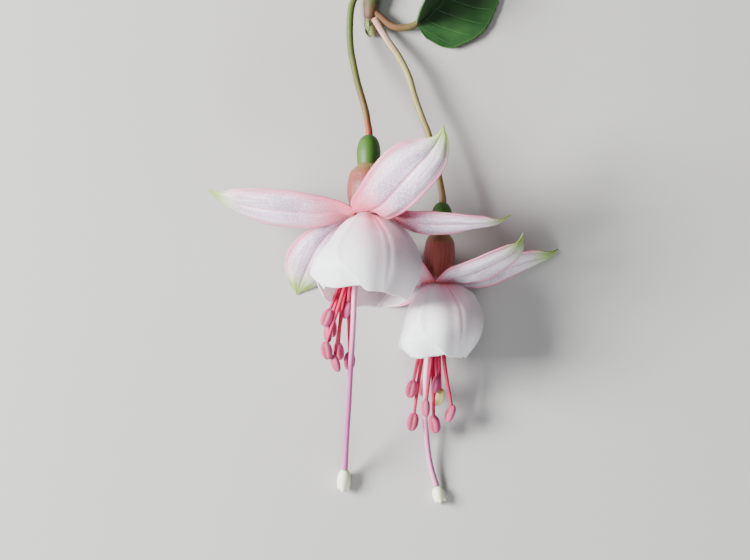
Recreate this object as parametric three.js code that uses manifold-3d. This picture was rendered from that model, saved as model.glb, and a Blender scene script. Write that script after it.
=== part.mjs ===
// A cut tip of a trailing fuchsia, lying on a flat surface: the end of the stem
// with its bud, one leaf on its stalk, and two open blooms, each on its pedicel.
//
// Millimetres, +Z up. The surface is z = 0. The stem's cut end points along +Y
// and the styles along -Y. The origin lies on the surface, in the middle of the
// whole spray. Each bloom is built round its hub, the middle of the rim where
// the sepals spread, and its own group carries it to its place.
import * as THREE from 'three';
import { mergeVertices } from 'three/addons/utils/BufferGeometryUtils.js';
import Module from 'manifold-3d';

const wasm = await Module();
wasm.setup();

const degrees = THREE.MathUtils.degToRad;
const UP = new THREE.Vector3(0, 0, 1);

const GAP = 0.3; // between one piece and the next
const BLADE = 0.7; // thickness of sepals, petals and leaf

const STEM = {
  path: [[-3.2, 74.8], [-3.2, 65], [-3.1, 59.5], [-3.4, 55.4], [-3.9, 51.7]],
  radii: [2.15, 2.15, 2.15, 2.65, 2.2, 1.5],
  height: 1.95, // of the middle line, so that the underside is pressed flat
};
const BUD = { base: [-4.1, 51.2], tip: [-3.3, 47.2], radius: 1.15, height: 1.7 };
const STALK = {
  path: [[-0.9, 53.0, 2.3], [0.8, 50.9, 2.3], [2.8, 49.8, 2.4], [5.2, 49.6, 2.5], [7.6, 50.1, 2.6]],
  radius: 0.95,
};
const LEAF = {
  base: [8.3, 50.3, 2.6],
  length: 34,
  halfWidth: 13,
  heading: degrees(42), // of the midrib, from +X
  fold: [68, 46, 0].map(degrees), // of the half that stands up, from base to tip
  teeth: 11, // along each margin
  toothDepth: 0.4,
  lobe: 2.2, // how far the rounded base reaches back beside the stalk
  endHeight: 0.9,
};
const PEDICEL_RADIUS = 0.92;
const PEDICELS = {
  left: [[-3.9, 22.5, 16.4], [-4.2, 24.2, 15.6], [-4.7, 27.3, 14.3], [-5.9, 31.7, 12.2], [-6.8, 34.8, 10.6],
    [-7.8, 39.3, 8.4], [-8.7, 44.5, 6.1], [-8.9, 49.9, 4.4], [-8.5, 54.9, 3.3], [-7.5, 57.7, 2.7], [-6.6, 59.2, 2.4]],
  right: [[15.3, 4.6, 10.2], [14.5, 9.6, 9.6], [13.0, 16.1, 8.6], [11.5, 22.1, 7.6], [10.1, 25.6, 7.0],
    [8.1, 31.2, 6.0], [6.4, 36.9, 5.1], [3.8, 42.1, 4.2], [1.0, 46.1, 3.4], [-1.0, 49.4, 2.7]],
};

// Sizes that the two blooms share. Places along the axis run from the hub to the mouth.
const RIM_RADIUS = 3.7;
const TUBE_WALL = 0.6;
const COLLAR = { outer: 2.8, inner: 2.2, from: -1.2, to: 1.1 };
const RING = { outer: 1.9, inner: 1.05, from: -0.9, to: 0.3 };
const STYLE_RADIUS = 0.74;
const FILAMENT_RADIUS = 0.42;
const ANTHER = { length: 4.9, width: 3.1, depth: 2.3 };
const PETALS = 4;
const PETAL_HALF_SPAN = degrees(63);
const PETAL_LAYER = 0.32; // how far one edge of a petal lies out, and the other in
const LIP = 0.4; // the place of the tube's rim

// Outlines, in evenly spaced shares of the greatest half width, from foot to tip.
const SEPAL_OUTLINE = [0.36, 0.5, 0.72, 0.89, 0.98, 1, 0.95, 0.82, 0.6, 0.28, 0.05];
const LEAF_OUTLINE = [0.06, 0.74, 0.93, 1, 0.98, 0.88, 0.74, 0.57, 0.38, 0.2, 0.06];
const STIGMA_OUTLINE = [0.5, 0.85, 1, 0.98, 0.88, 0.7];

// All points of a bloom are measured from its hub. A corolla's wall is given on its right and on
// its left, as places along the axis with their radii. mouth gives the X and Z at which each
// filament passes the style's first point, on its way to its anther.
const BLOOMS = [
  {
    name: 'left',
    hub: [-4.4, 1.3, 21],
    tilt: degrees(12), // of the mouth, upwards
    tube: { length: 12.2, radius: 5.3, swing: degrees(1.5) },
    ovary: { length: 8.2, radius: 3.07 },
    corolla: {
      swing: 0,
      turn: degrees(64), // of the front petal's middle
      right: [[0.3, 2.5], [1.4, 2.7], [2.6, 4.7], [4.0, 7.5], [6.2, 10.6], [10.0, 12.8], [13.4, 13.6],
        [17.2, 13.1], [20.6, 11.6], [23.8, 9.4]],
      left: [[0.3, 2.5], [1.4, 2.7], [2.7, 5.0], [4.3, 7.8], [8.4, 10.8], [11.2, 12.6], [13.6, 14.0],
        [16.0, 14.7], [18.8, 14.0], [21.8, 12.2]],
      lifted: { at: degrees(190), share: 0.1 }, // where the hem rises
    },
    sepalHalfWidth: 7.5,
    sepals: [
      {
        path: [[-3.3, 0.7, 0], [-7.0, 0.3, 0.6], [-13.5, -0.3, 0.8], [-19.8, 0.1, 0.2],
          [-27.6, 0.9, -1.5], [-34.1, 2.2, -3.6], [-38.2, 3.7, -5.2], [-41.2, 5.7, -6]],
        across: [[0, 0.15, 0.98], [0, 0.64, 0.77], [0, 0.54, 0.84]],
      },
      {
        path: [[3.3, 0.6, 0], [7.0, -0.9, 1.0], [11.2, -2.7, 1.9], [16.4, -3.3, 3.0],
          [23.1, -3.3, 4.0], [29.4, -3.0, 4.2], [34.1, -2.5, 3.6], [37.3, -0.8, 3.0]],
        across: [[0, -0.2, -0.98], [0, -0.55, -0.83], [0, -0.27, -0.96]],
        breadth: 0.7,
      },
      {
        path: [[0.4, 0.7, 3.3], [0.7, 0.4, 5.2], [1.8, 0.9, 8.4], [4.0, 2.9, 12.3], [7.9, 7.2, 15.6],
          [12.3, 12.1, 17.4], [16.2, 16.2, 17.8], [18.6, 19.3, 17.9], [19.8, 22.1, 18.8]],
        across: [[0.98, -0.2, 0], [0.79, -0.61, 0]],
        blunt: 0.72,
      },
      {
        path: [[-1.8, 0.0, -2.9], [-4.9, -1.4, -6], [-9.1, -4.6, -10], [-12.8, -8.8, -13.5],
          [-15.3, -13.5, -16.4], [-17.1, -17.9, -18.9], [-18.4, -21.4, -20.8]],
        across: [[-0.85, 0.1, 0.5], [-0.95, 0.25, 0.2]],
      },
    ],
    mouth: [[-7.4, 1.1], [-6.6, -0.4], [-5.8, 2.5], [-5.2, 0.9], [-4.4, 1.7], [-4.4, 3.1], [-5.9, -1.0], [-6.9, -1.6]],
    anthers: [
      { at: [-10.4, -27.4, 2.6], lean: [-0.42, -1, -0.1] },
      { at: [-10.2, -31.6, 0.4], lean: [0.02, -1, -0.2] },
      { at: [-10.5, -36.0, 2.2], lean: [0.2, -1, -0.2] },
      { at: [-8.2, -39.3, 0.4], lean: [0.3, -1, -0.2] },
      { at: [-4.6, -38.7, -3.6], lean: [-0.05, -1, -0.2] },
      { at: [-5.4, -25.4, 0.6], lean: [-0.3, -1, -0.3] },
      { at: [-7.4, -36.2, -2.4], lean: [0.1, -1, -0.2] },
      { at: [-8.9, -30.2, -3.2], lean: [0.05, -1, -0.3] },
    ],
    style: [[-3.1, -19.5, 4.1], [-3.5, -27.8, 3.2], [-3.9, -35.1, 1.5], [-4.3, -40.8, -0.6],
      [-4.8, -50.2, -5.6], [-5.4, -59.3, -11.8], [-5.85, -67.2, -18.2]],
    stigma: { to: [-6.3, -72.9, -19.9], radius: 1.8 },
  },
  {
    name: 'right',
    hub: [14.0, -16.6, 11.1],
    tilt: degrees(3),
    tube: { length: 12.6, radius: 4.05, swing: degrees(3.5) },
    ovary: { length: 7.9, radius: 2.8 },
    corolla: {
      swing: degrees(-3.5),
      turn: degrees(58),
      right: [[0.3, 2.5], [1.4, 2.7], [2.6, 4.7], [4.2, 7.5], [6.3, 9.9], [8.9, 10.8], [11.6, 10.9],
        [14.6, 10.1], [17.4, 8.6], [20.4, 6.0]],
      left: [[0.3, 2.5], [1.4, 2.7], [2.9, 4.9], [5.0, 7.0], [7.9, 8.5], [10.5, 9.2], [13.0, 9.9],
        [15.6, 10.6], [17.8, 10.2], [20.6, 9.0]],
      lifted: { at: degrees(186), share: 0.16 },
    },
    sepalHalfWidth: 5.9,
    sepals: [
      {
        path: [[1.8, 0.7, 2.9], [3.8, 0.9, 4.9], [6.6, 1.3, 7.2], [10.9, 2.6, 9],
          [15.6, 4.9, 10], [19.0, 6.9, 10.4], [21.1, 9.0, 10.8], [22.1, 12.3, 11.6]],
        across: [[0.8, -0.15, -0.55], [0.2, -0.55, -0.8]],
        breadth: 0.88,
      },
      {
        path: [[2.6, 0.4, -2.2], [5.4, 0.2, -4], [10.4, 0.9, -5.5], [16.1, 2.6, -7],
          [21.8, 4.4, -8.4], [26.0, 5.7, -9.4], [29.1, 6.6, -10.1], [31.5, 8.3, -10.6]],
        across: [[-0.65, -0.1, -0.75], [0.1, -0.6, -0.8], [0.1, -0.45, -0.9]],
        breadth: 0.92,
      },
      {
        path: [[-2.4, 0.8, 2.3], [-4.4, 1.6, 1.8], [-7.3, 2.6, -0.3], [-10.9, 3.6, -2.8],
          [-15.1, 4.5, -4.8], [-19.5, 4.9, -6.3], [-22.0, 4.6, -7.0]],
        across: [[0.68, 0.15, 0.7], [0.05, 0.95, 0.3]],
      },
      {
        path: [[-2.4, 0.4, -2.4], [-4.3, 0.1, -4.4], [-7.6, -0.3, -6.6], [-11.4, -1.0, -8.4],
          [-15.1, -1.3, -9.6], [-18.7, -1.0, -10.3], [-22.4, 0.2, -10.6]],
        across: [[-0.7, 0.15, 0.7], [-0.1, 0.99, 0.1]],
      },
    ],
    mouth: [[-4.9, -0.6], [-2.6, -2.9], [-0.4, -0.2], [0.4, -2.4], [-1.5, 0.9], [-4.0, -2.4], [-1.0, -2.4], [1.6, -1.0]],
    anthers: [
      { at: [-6.8, -28.2, -3.0], lean: [-0.25, -1, -0.2] },
      { at: [-3.6, -27.8, -6.4], lean: [-0.2, -1, -0.2] },
      { at: [-0.3, -26.9, -3.0], lean: [-0.15, -1, -0.2] },
      { at: [0.4, -30.4, -6.4], lean: [-0.3, -1, -0.2] },
      { at: [-3.1, -33.2, -2.4], lean: [-0.03, -1, -0.2] },
      { at: [-6.5, -36.8, -5.8], lean: [-0.2, -1, -0.1] },
      { at: [-0.8, -37.4, -6.0], lean: [0.2, -1, -0.1] },
      { at: [3.3, -34.6, -4.4], lean: [-0.4, -1, -0.1] },
    ],
    style: [[-2.6, -19.5, -0.8], [-3.1, -25.7, -2.4], [-3.2, -31.0, -5.0], [-3.3, -35.6, -6.6],
      [-2.9, -40.2, -7.7], [-2.5, -44.3, -8.5], [-1.8, -48.4, -9.1], [-0.55, -52.9, -9.55]],
    stigma: { to: [1.0, -58.0, -9.9], radius: 1.7 },
  },
];

// ---------------------------------------------------------------- helpers

const vector = ([x, y, z = 0]) => new THREE.Vector3(x, y, z);
const smoothstep = THREE.MathUtils.smoothstep;
const curveThrough = (points) => new THREE.CatmullRomCurve3(points.map(vector), false, 'centripetal');

// A value read from an evenly spaced list, at a place from 0 to 1 along it.
function readAt(list, place) {
  const at = THREE.MathUtils.clamp(place, 0, 1) * (list.length - 1);
  const i = Math.min(Math.floor(at), list.length - 2);
  const blend = at - i;
  const share = (blend + blend * blend * (3 - 2 * blend)) / 2;
  return list[i] * (1 - share) + list[i + 1] * share;
}

function solidOf(geometry) {
  const bare = geometry.clone();
  bare.deleteAttribute('normal');
  bare.deleteAttribute('uv');
  const merged = mergeVertices(bare, 1e-5);
  return new wasm.Manifold(new wasm.Mesh({
    numProp: 3,
    vertProperties: Float32Array.from(merged.attributes.position.array),
    triVerts: Uint32Array.from(merged.index.array),
  }));
}

function geometryOf(solid) {
  const { vertProperties, triVerts } = solid.getMesh();
  const geometry = new THREE.BufferGeometry();
  geometry.setAttribute('position', new THREE.BufferAttribute(vertProperties, 3));
  geometry.setIndex(new THREE.BufferAttribute(triVerts, 1));
  geometry.computeVertexNormals();
  return geometry;
}

const joined = (solids) => solids.reduce((sum, solid) => sum.add(solid));

// Joins bodies into one solid. A pocket closed in between them is filled.
function fuse(geometries) {
  const shells = joined(geometries.map(solidOf)).decompose();
  return joined(shells.filter((shell) => shell.volume() > 0));
}

// Presses flat whatever reaches below the surface, which lies at the given height.
function pressedFlat(solid, surface) {
  const depth = 60;
  const block = new THREE.BoxGeometry(400, 400, depth).translate(0, 0, surface - depth / 2);
  return solid.subtract(solidOf(block));
}

// A round stem along a curve; radiusAt gives its radius from 0 at the start to 1 at the end.
function stemGeometry(curve, radiusAt, sides, steps) {
  const geometry = new THREE.CylinderGeometry(1, 1, 1, sides, steps);
  const frames = curve.computeFrenetFrames(steps);
  const places = geometry.attributes.position;
  for (let i = 0; i < places.count; i += 1) {
    const t = places.getY(i) + 0.5;
    const row = Math.round(t * steps);
    const radius = radiusAt(t);
    const place = curve.getPointAt(t)
      .addScaledVector(frames.binormals[row], places.getX(i) * radius)
      .addScaledVector(frames.normals[row], places.getZ(i) * radius);
    places.setXYZ(i, place.x, place.y, place.z);
  }
  return geometry;
}

// A closed blade round a middle surface. surface(s, t) gives a point for s from
// -1 to 1 across and t from 0 to 1 along. Both faces are split into triangles alike.
function bladeGeometry(columns, rows, surface) {
  const grid = new THREE.PlaneGeometry(2, 1, columns, rows);
  const flat = grid.attributes.position;
  const step = 0.004;
  const top = [];
  const bottom = [];
  for (let i = 0; i < flat.count; i += 1) {
    const s = flat.getX(i);
    const t = flat.getY(i) + 0.5;
    const acrossWay = surface(Math.min(s + step, 1), t).sub(surface(Math.max(s - step, -1), t));
    const alongWay = surface(s, Math.min(t + step, 1)).sub(surface(s, Math.max(t - step, 0)));
    const halfWall = acrossWay.cross(alongWay).setLength(BLADE / 2);
    const place = surface(s, t);
    top.push(...place.clone().add(halfWall).toArray());
    bottom.push(...place.sub(halfWall).toArray());
  }
  const index = Array.from(grid.index.array);
  for (let i = grid.index.count - 3; i >= 0; i -= 3) {
    index.push(...[2, 1, 0].map((corner) => index[i + corner] + flat.count));
  }
  const width = columns + 1;
  const edge = [];
  for (let c = 0; c < columns; c += 1) edge.push(c);
  for (let r = 0; r < rows; r += 1) edge.push(r * width + columns);
  for (let c = columns; c > 0; c -= 1) edge.push(rows * width + c);
  for (let r = rows; r > 0; r -= 1) edge.push(r * width);
  edge.forEach((a, i) => {
    const b = edge[(i + 1) % edge.length];
    index.push(a, b, b + flat.count, a, b + flat.count, a + flat.count);
  });
  const geometry = new THREE.BufferGeometry();
  geometry.setAttribute('position', new THREE.Float32BufferAttribute([...top, ...bottom], 3));
  geometry.setIndex(index);
  return geometry;
}

// ---------------------------------------------------------------- bloom

// A bloom's axes: to the right, upwards, and along its axis from the hub to the mouth.
function bloomFrame(tilt, swing) {
  const axis = new THREE.Vector3(0, -Math.cos(tilt), Math.sin(tilt)).applyAxisAngle(UP, -swing);
  const right = new THREE.Vector3(1, 0, 0).applyAxisAngle(UP, -swing);
  return new THREE.Matrix4().makeBasis(right, axis.clone().cross(right), axis);
}

// A body turned round the bloom's axis from [radius, place along the axis] points.
function turned(outline, sides, frame) {
  const points = outline.map(([radius, place]) => new THREE.Vector2(radius, place));
  return new THREE.LatheGeometry(points, sides).rotateX(Math.PI / 2).applyMatrix4(frame);
}

function ringGeometry({ outer, inner, from, to }, sides, frame) {
  return turned([[outer, from], [outer, to], [inner, to], [inner, from], [outer, from]], sides, frame);
}

function tubeGeometry({ length, radius }, frame) {
  const bore = 1.15;
  const mouthBore = RIM_RADIUS - TUBE_WALL;
  const outside = [[radius * 0.52, -length], [radius * 0.86, -length * 0.86], [radius, -length * 0.5],
    [radius * 0.93, -length * 0.2], [RIM_RADIUS, LIP]];
  const inside = [[mouthBore, LIP], [radius * 0.78, -length * 0.2], [radius * 0.85, -length * 0.5],
    [radius * 0.7, -length * 0.8], [bore, -length * 0.92], [bore, -length]];
  return turned([...outside, ...inside, outside[0]], 14, frame);
}

// A sepal: its middle line, the way across it from foot to tip, and a ridge along it.
// A blunt figure below 1 makes it broader towards its ends, a breadth below 1 narrower.
function sepalGeometry({ path, across, blunt = 1, breadth = 1 }, halfWidth) {
  const curve = curveThrough(path);
  const [first, middle, last = middle] = across.map((way) => vector(way).normalize());
  const ridge = 0.16;
  return bladeGeometry(6, 13, (s, t) => {
    const tangent = curve.getTangentAt(t);
    const way = first.clone().lerp(middle, smoothstep(t, 0, 0.2)).lerp(last, smoothstep(t, 0.4, 0.9));
    way.addScaledVector(tangent, -way.dot(tangent)).normalize();
    const inner = way.clone().cross(tangent);
    const half = halfWidth * breadth * readAt(SEPAL_OUTLINE, t) ** blunt;
    const wrap = (1 - smoothstep(t, 0, 0.2)) * (s * half) ** 2 / (2 * RIM_RADIUS);
    const crown = halfWidth * ridge * smoothstep(t, 0.05, 0.3) * (1 - smoothstep(t, 0.75, 1));
    return curve.getPointAt(t)
      .addScaledVector(way, s * half)
      .addScaledVector(tangent, -wrap)
      .addScaledVector(inner, -crown * Math.abs(s) ** 1.4);
  });
}

// The tube with its sepals. The mouth is bored out again for the corolla's collar, where
// the sepals' feet reach in.
function calyx({ tube, sepals, sepalHalfWidth }, frame, tubeFrame) {
  const mouthBore = RIM_RADIUS - TUBE_WALL;
  const flare = 0.6;
  const bore = turned([[0, -2], [mouthBore, -2], [mouthBore, LIP], [mouthBore + flare, 2.5], [0, 2.5]], 14, frame);
  return fuse([tubeGeometry(tube, tubeFrame), ...sepals.map((sepal) => sepalGeometry(sepal, sepalHalfWidth))])
    .subtract(solidOf(bore));
}

// One petal: a broad part of the corolla's wall. One edge lies under its neighbour, and the
// other, with its rounded corner, over the next.
function petalGeometry({ right, left, lifted }, middle, frame) {
  const [rightLine, leftLine] = [right, left].map((points) => (
    new THREE.SplineCurve(points.map(([place, radius]) => new THREE.Vector2(place, radius)))));
  return bladeGeometry(7, 7, (s, t) => {
    const angle = middle + s * PETAL_HALF_SPAN;
    const rounding = s > 0 ? 0.44 * (1 - (1 - s * s) ** 0.6) : 0.03 * s ** 4;
    const lift = lifted.share * Math.max(Math.cos(angle - lifted.at), 0) ** 4;
    const reach = t * (1 - rounding - lift);
    const wall = rightLine.getPoint(reach).lerp(leftLine.getPoint(reach), (1 - Math.cos(angle)) / 2);
    const free = smoothstep(t, 0.05, 0.3);
    const out = wall.y + free * (s * PETAL_LAYER + 0.3 * Math.cos(5 * angle));
    return new THREE.Vector3(Math.cos(angle) * out, Math.sin(angle) * out, wall.x).applyMatrix4(frame);
  });
}

function corolla(bloom, frame) {
  const parts = [ringGeometry(COLLAR, 14, frame)];
  for (let i = 0; i < PETALS; i += 1) {
    parts.push(petalGeometry(bloom.corolla, bloom.corolla.turn + i * 2 * Math.PI / PETALS, frame));
  }
  return fuse(parts);
}

function antherGeometry({ at, lean }) {
  const turn = new THREE.Quaternion().setFromUnitVectors(new THREE.Vector3(0, 1, 0), vector(lean).normalize());
  return new THREE.SphereGeometry(0.5, 7, 6)
    .scale(ANTHER.width, ANTHER.length, ANTHER.depth)
    .applyQuaternion(turn)
    .translate(...at);
}

// The stamens: a ring in the tube's mouth, and a filament from it to each anther.
// Each filament starts on the side of the style where it leaves the mouth.
function stamens(bloom, frame) {
  const parts = [ringGeometry(RING, 12, frame)];
  const ringMiddle = (RING.outer + RING.inner) / 2;
  const ownAxes = frame.clone().invert();
  const stylePlace = vector(bloom.style[0]).applyMatrix4(ownAxes);
  bloom.anthers.forEach((anther, i) => {
    const [x, z] = bloom.mouth[i];
    const leaves = new THREE.Vector3(x, bloom.style[0][1], z);
    const place = leaves.clone().applyMatrix4(ownAxes).sub(stylePlace);
    const round = Math.atan2(place.y, place.x);
    const inRing = (height) => new THREE.Vector3(ringMiddle * Math.cos(round), ringMiddle * Math.sin(round), height);
    const top = vector(anther.at).addScaledVector(vector(anther.lean).normalize(), -ANTHER.length * 0.25);
    const feet = [inRing(-0.2), inRing(2.4)].map((point) => point.applyMatrix4(frame));
    const curve = new THREE.CatmullRomCurve3([...feet, leaves, top], false, 'centripetal');
    parts.push(stemGeometry(curve, () => FILAMENT_RADIUS, 5, 8), antherGeometry(anther));
  });
  return fuse(parts);
}

function style(bloom, frame, tubeFrame) {
  const onAxis = (place, axes) => new THREE.Vector3(0, 0, place).applyMatrix4(axes).toArray();
  const { length } = bloom.tube;
  const start = [onAxis(-length, tubeFrame), onAxis(-length / 2, tubeFrame), onAxis(-1, frame), onAxis(2, frame)];
  return solidOf(stemGeometry(curveThrough([...start, ...bloom.style]), () => STYLE_RADIUS, 7, 26));
}

function stigma(bloom) {
  const foot = vector(bloom.style.at(-1));
  const tip = vector(bloom.stigma.to);
  foot.addScaledVector(tip.clone().sub(foot).normalize(), 2 * GAP);
  const radiusAt = (t) => bloom.stigma.radius * readAt(STIGMA_OUTLINE, t);
  return solidOf(stemGeometry(new THREE.LineCurve3(foot, tip), radiusAt, 10, 6));
}

function ovary({ tube, ovary: { length, radius } }, frame) {
  const foot = -tube.length - GAP;
  const outline = [[0, 1], [0.38, 1], [0.62, 0.93], [0.82, 0.81], [0.95, 0.63], [1, 0.43], [0.94, 0.16],
    [0.88, 0], [0, 0]];
  return solidOf(turned(outline.map(([out, along]) => [out * radius, foot - along * length]), 14, frame));
}

// ---------------------------------------------------------------- stem and leaf

const pedicel = (points) => solidOf(stemGeometry(curveThrough(points), () => PEDICEL_RADIUS, 8, 22));

const leafStalk = () => solidOf(stemGeometry(curveThrough(STALK.path), () => STALK.radius, 8, 12));

function stem() {
  const curve = curveThrough(STEM.path.map(([x, y]) => [x, y, STEM.height]));
  return solidOf(stemGeometry(curve, (t) => readAt(STEM.radii, t), 12, 14));
}

// The bud at the stem's tip: a core with two pairs of small folded leaves.
function terminalBud() {
  const base = vector([...BUD.base, BUD.height]);
  const way = vector([...BUD.tip, BUD.height]).sub(base);
  const reach = way.length();
  way.normalize();
  const side = way.clone().cross(UP);
  const tip = base.clone().addScaledVector(way, reach);
  const parts = [stemGeometry(new THREE.LineCurve3(base, tip), (t) => BUD.radius * (1 - 0.6 * t * t), 8, 4)];
  for (let i = 0; i < 4; i += 1) {
    const round = i * Math.PI / 2 + Math.PI / 4;
    const out = side.clone().multiplyScalar(Math.cos(round)).addScaledVector(UP, Math.sin(round));
    const across = way.clone().cross(out);
    const stage = i % 2 ? 0.4 : 0.1;
    parts.push(bladeGeometry(2, 4, (s, t) => base.clone()
      .addScaledVector(way, reach * (stage + 0.6 * t))
      .addScaledVector(out, BUD.radius * (0.75 + 0.35 * Math.sin(Math.PI * t)))
      .addScaledVector(across, s * BUD.radius * (0.75 - 0.6 * t * t))));
  }
  return fuse(parts);
}

// The leaf: folded along its midrib, one half lying flat and the other standing up. The
// fold opens out towards the tip.
function leafBlade() {
  const heading = new THREE.Vector3(Math.cos(LEAF.heading), Math.sin(LEAF.heading), 0);
  const flatSide = heading.clone().cross(UP);
  const rows = LEAF.teeth * 2;
  return solidOf(bladeGeometry(6, rows, (s, t) => {
    const out = Math.abs(s);
    const fold = readAt(LEAF.fold, t);
    const raised = flatSide.clone().multiplyScalar(-Math.cos(fold)).addScaledVector(UP, Math.sin(fold));
    const tooth = Math.round(t * rows) % 2 ? LEAF.toothDepth * out ** 4 : 0;
    const half = LEAF.halfWidth * readAt(LEAF_OUTLINE, t) + tooth;
    const lobe = LEAF.lobe * smoothstep(t, 0, 0.1) * (1 - smoothstep(t, 0.1, 0.4)) * out ** 1.5;
    const droop = (LEAF.base[2] - LEAF.endHeight) * t * t;
    const sag = s > 0 ? 1.6 * s * smoothstep(t, 0, 0.15) * (1 - t) : 0;
    const wave = 0.25 * Math.sin(9 * t) * out;
    return vector(LEAF.base)
      .addScaledVector(heading, LEAF.length * t - lobe)
      .addScaledVector(s > 0 ? flatSide : raised, out * half)
      .addScaledVector(UP, wave - droop - sag);
  }));
}

// ---------------------------------------------------------------- assembly

function piece(name, solid, color, roughness) {
  const mesh = new THREE.Mesh(geometryOf(solid), new THREE.MeshStandardMaterial({ color, roughness, metalness: 0 }));
  mesh.name = name;
  return mesh;
}

function bloomGroup(bloom) {
  const tubeFrame = bloomFrame(bloom.tilt, bloom.tube.swing);
  const frame = bloomFrame(bloom.tilt, bloom.corolla.swing);
  const surface = -bloom.hub[2];
  const group = new THREE.Group();
  group.position.set(...bloom.hub);
  group.add(
    piece(`${bloom.name}_ovary`, ovary(bloom, tubeFrame), 0x5f9632, 0.4),
    piece(`${bloom.name}_calyx`, pressedFlat(calyx(bloom, frame, tubeFrame), surface), 0xe9a3ae, 0.55),
    piece(`${bloom.name}_corolla`, pressedFlat(corolla(bloom, frame), surface), 0xf4f1f4, 0.6),
    piece(`${bloom.name}_stamens`, stamens(bloom, frame), 0xe0486e, 0.45),
    piece(`${bloom.name}_style`, style(bloom, frame, tubeFrame), 0xd79cbc, 0.45),
    piece(`${bloom.name}_stigma`, pressedFlat(stigma(bloom), surface), 0xe1ebcd, 0.5),
  );
  return group;
}

const spray = new THREE.Group();
spray.add(
  piece('stem', pressedFlat(stem(), 0), 0x6f7f45, 0.6),
  piece('terminal_bud', terminalBud(), 0x93a86a, 0.6),
  piece('leaf_stalk', leafStalk(), 0x8a7046, 0.5),
  piece('leaf_blade', pressedFlat(leafBlade(), 0), 0x234b23, 0.5),
);
BLOOMS.forEach((bloom) => {
  spray.add(piece(`${bloom.name}_pedicel`, pedicel(PEDICELS[bloom.name]), 0x8f8a3c, 0.5), bloomGroup(bloom));
});

export default spray;
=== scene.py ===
"""A cut fuchsia spray, dressed: two open blooms on their pedicels, a stem tip and a leaf.

The spray lies on a pale floor and the camera looks straight down on it. Sizes are in
millimetres in the part's frame, as the solids have them, and a mesh is taken to metres
when it is laid. Blades, such as sepals, petals and the leaf, are grids laid over a
surface and given a wall. Stems are grids rolled round a path. Every mesh keeps its
place on its grid as a UV map, which the finishes read.
"""
import logging
import math
from bisect import bisect_right
from dataclasses import dataclass, field, replace
from enum import Enum
from pathlib import Path as File
from typing import Callable, Mapping, Sequence

import bmesh
import bpy
from mathutils import Matrix, Vector, noise


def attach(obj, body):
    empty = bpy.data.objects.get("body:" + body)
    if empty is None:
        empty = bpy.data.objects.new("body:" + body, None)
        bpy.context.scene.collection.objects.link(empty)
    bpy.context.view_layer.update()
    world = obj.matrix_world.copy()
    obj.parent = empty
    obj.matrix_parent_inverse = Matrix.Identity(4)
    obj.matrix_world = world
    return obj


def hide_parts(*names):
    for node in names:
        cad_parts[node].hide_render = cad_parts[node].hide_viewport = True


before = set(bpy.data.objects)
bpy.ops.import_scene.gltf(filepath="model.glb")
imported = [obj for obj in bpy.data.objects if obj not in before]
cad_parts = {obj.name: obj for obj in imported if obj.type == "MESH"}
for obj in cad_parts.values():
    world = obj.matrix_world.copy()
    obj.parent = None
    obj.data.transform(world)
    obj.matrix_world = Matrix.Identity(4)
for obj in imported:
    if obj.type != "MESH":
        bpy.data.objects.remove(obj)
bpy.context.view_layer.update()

LOG = logging.getLogger("fuchsia_spray")

MM = 0.001
TURN = 2.0 * math.pi
BODY = "root"
PLACE_MAP = "place"
FACE_MARK = "far_face"
GRID_MARK = "grid_place"
OUT_MARK = "outward"
SIDE_VEINS = 8.0

Point = Sequence[float]
Pair = tuple[float, float]
Colour = tuple[float, float, float]
Stops = tuple[tuple[float, Colour], ...]
Surface = Callable[[float, float], Vector]
Wall = Callable[[float, float], float]

UP = Vector((0.0, 0.0, 1.0))


class Slot(Enum):
    """The record's material slots."""

    STEM = "stem_bark"
    BUD = "young_leaf"
    STALK = "leaf_stalk"
    LEAF = "leaf_green"
    PEDICEL = "pedicel"
    OVARY = "ovary"
    SEPAL = "sepal"
    PETAL = "petal"
    STAMEN = "stamen"
    STYLE = "style"
    STIGMA = "stigma"


class BloomSide(Enum):
    """Which of the two blooms a piece belongs to."""

    LEFT = "left"
    RIGHT = "right"


# ---------------------------------------------------------------- numbers and curves


def smoothstep(value: float, low: float, high: float) -> float:
    """Rises smoothly from 0 at low to 1 at high."""
    share = min(max((value - low) / (high - low), 0.0), 1.0)
    return share * share * (3.0 - 2.0 * share)


def hump(value: float, middle: float, width: float) -> float:
    """A rounded hump of height 1 at its middle."""
    return math.exp(-(((value - middle) / width) ** 2))


def spread(across: float) -> float:
    """Takes a share across, from 0 to 1, to a place from -1 to 1."""
    return 2.0 * across - 1.0


def degrees_from(angle: float, middle: float) -> float:
    """How far an angle in radians lies from one in degrees, from -180 to 180 degrees."""
    return (math.degrees(angle) - middle + 180.0) % 360.0 - 180.0


def around(side: Vector, lift: Vector, angle: float) -> Vector:
    """The direction at an angle from one direction across a stem to the other."""
    return side * math.cos(angle) + lift * math.sin(angle)


def grain(point: Vector, scale: float) -> float:
    """Natural unevenness from -1 to 1, the same at the same point every time."""
    return noise.noise(point * scale)


def read_list(values: Sequence[float], place: float) -> float:
    """Reads an evenly spaced list as a smooth curve.

    Args:
        values: The figures, evenly spaced.
        place: Where to read, from 0 to 1.

    Returns:
        The figure there.
    """
    at = min(max(place, 0.0), 1.0) * (len(values) - 1)
    i = min(int(at), len(values) - 2)
    t = at - i
    before = values[max(i - 1, 0)]
    first, second = values[i], values[i + 1]
    after = values[min(i + 2, len(values) - 1)]
    start_slope = (second - before) / 2.0
    end_slope = (after - first) / 2.0
    rise = first - second
    cubic = 2.0 * rise + start_slope + end_slope
    square = -3.0 * rise - 2.0 * start_slope - end_slope
    return ((cubic * t + square) * t + start_slope) * t + first


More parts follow.
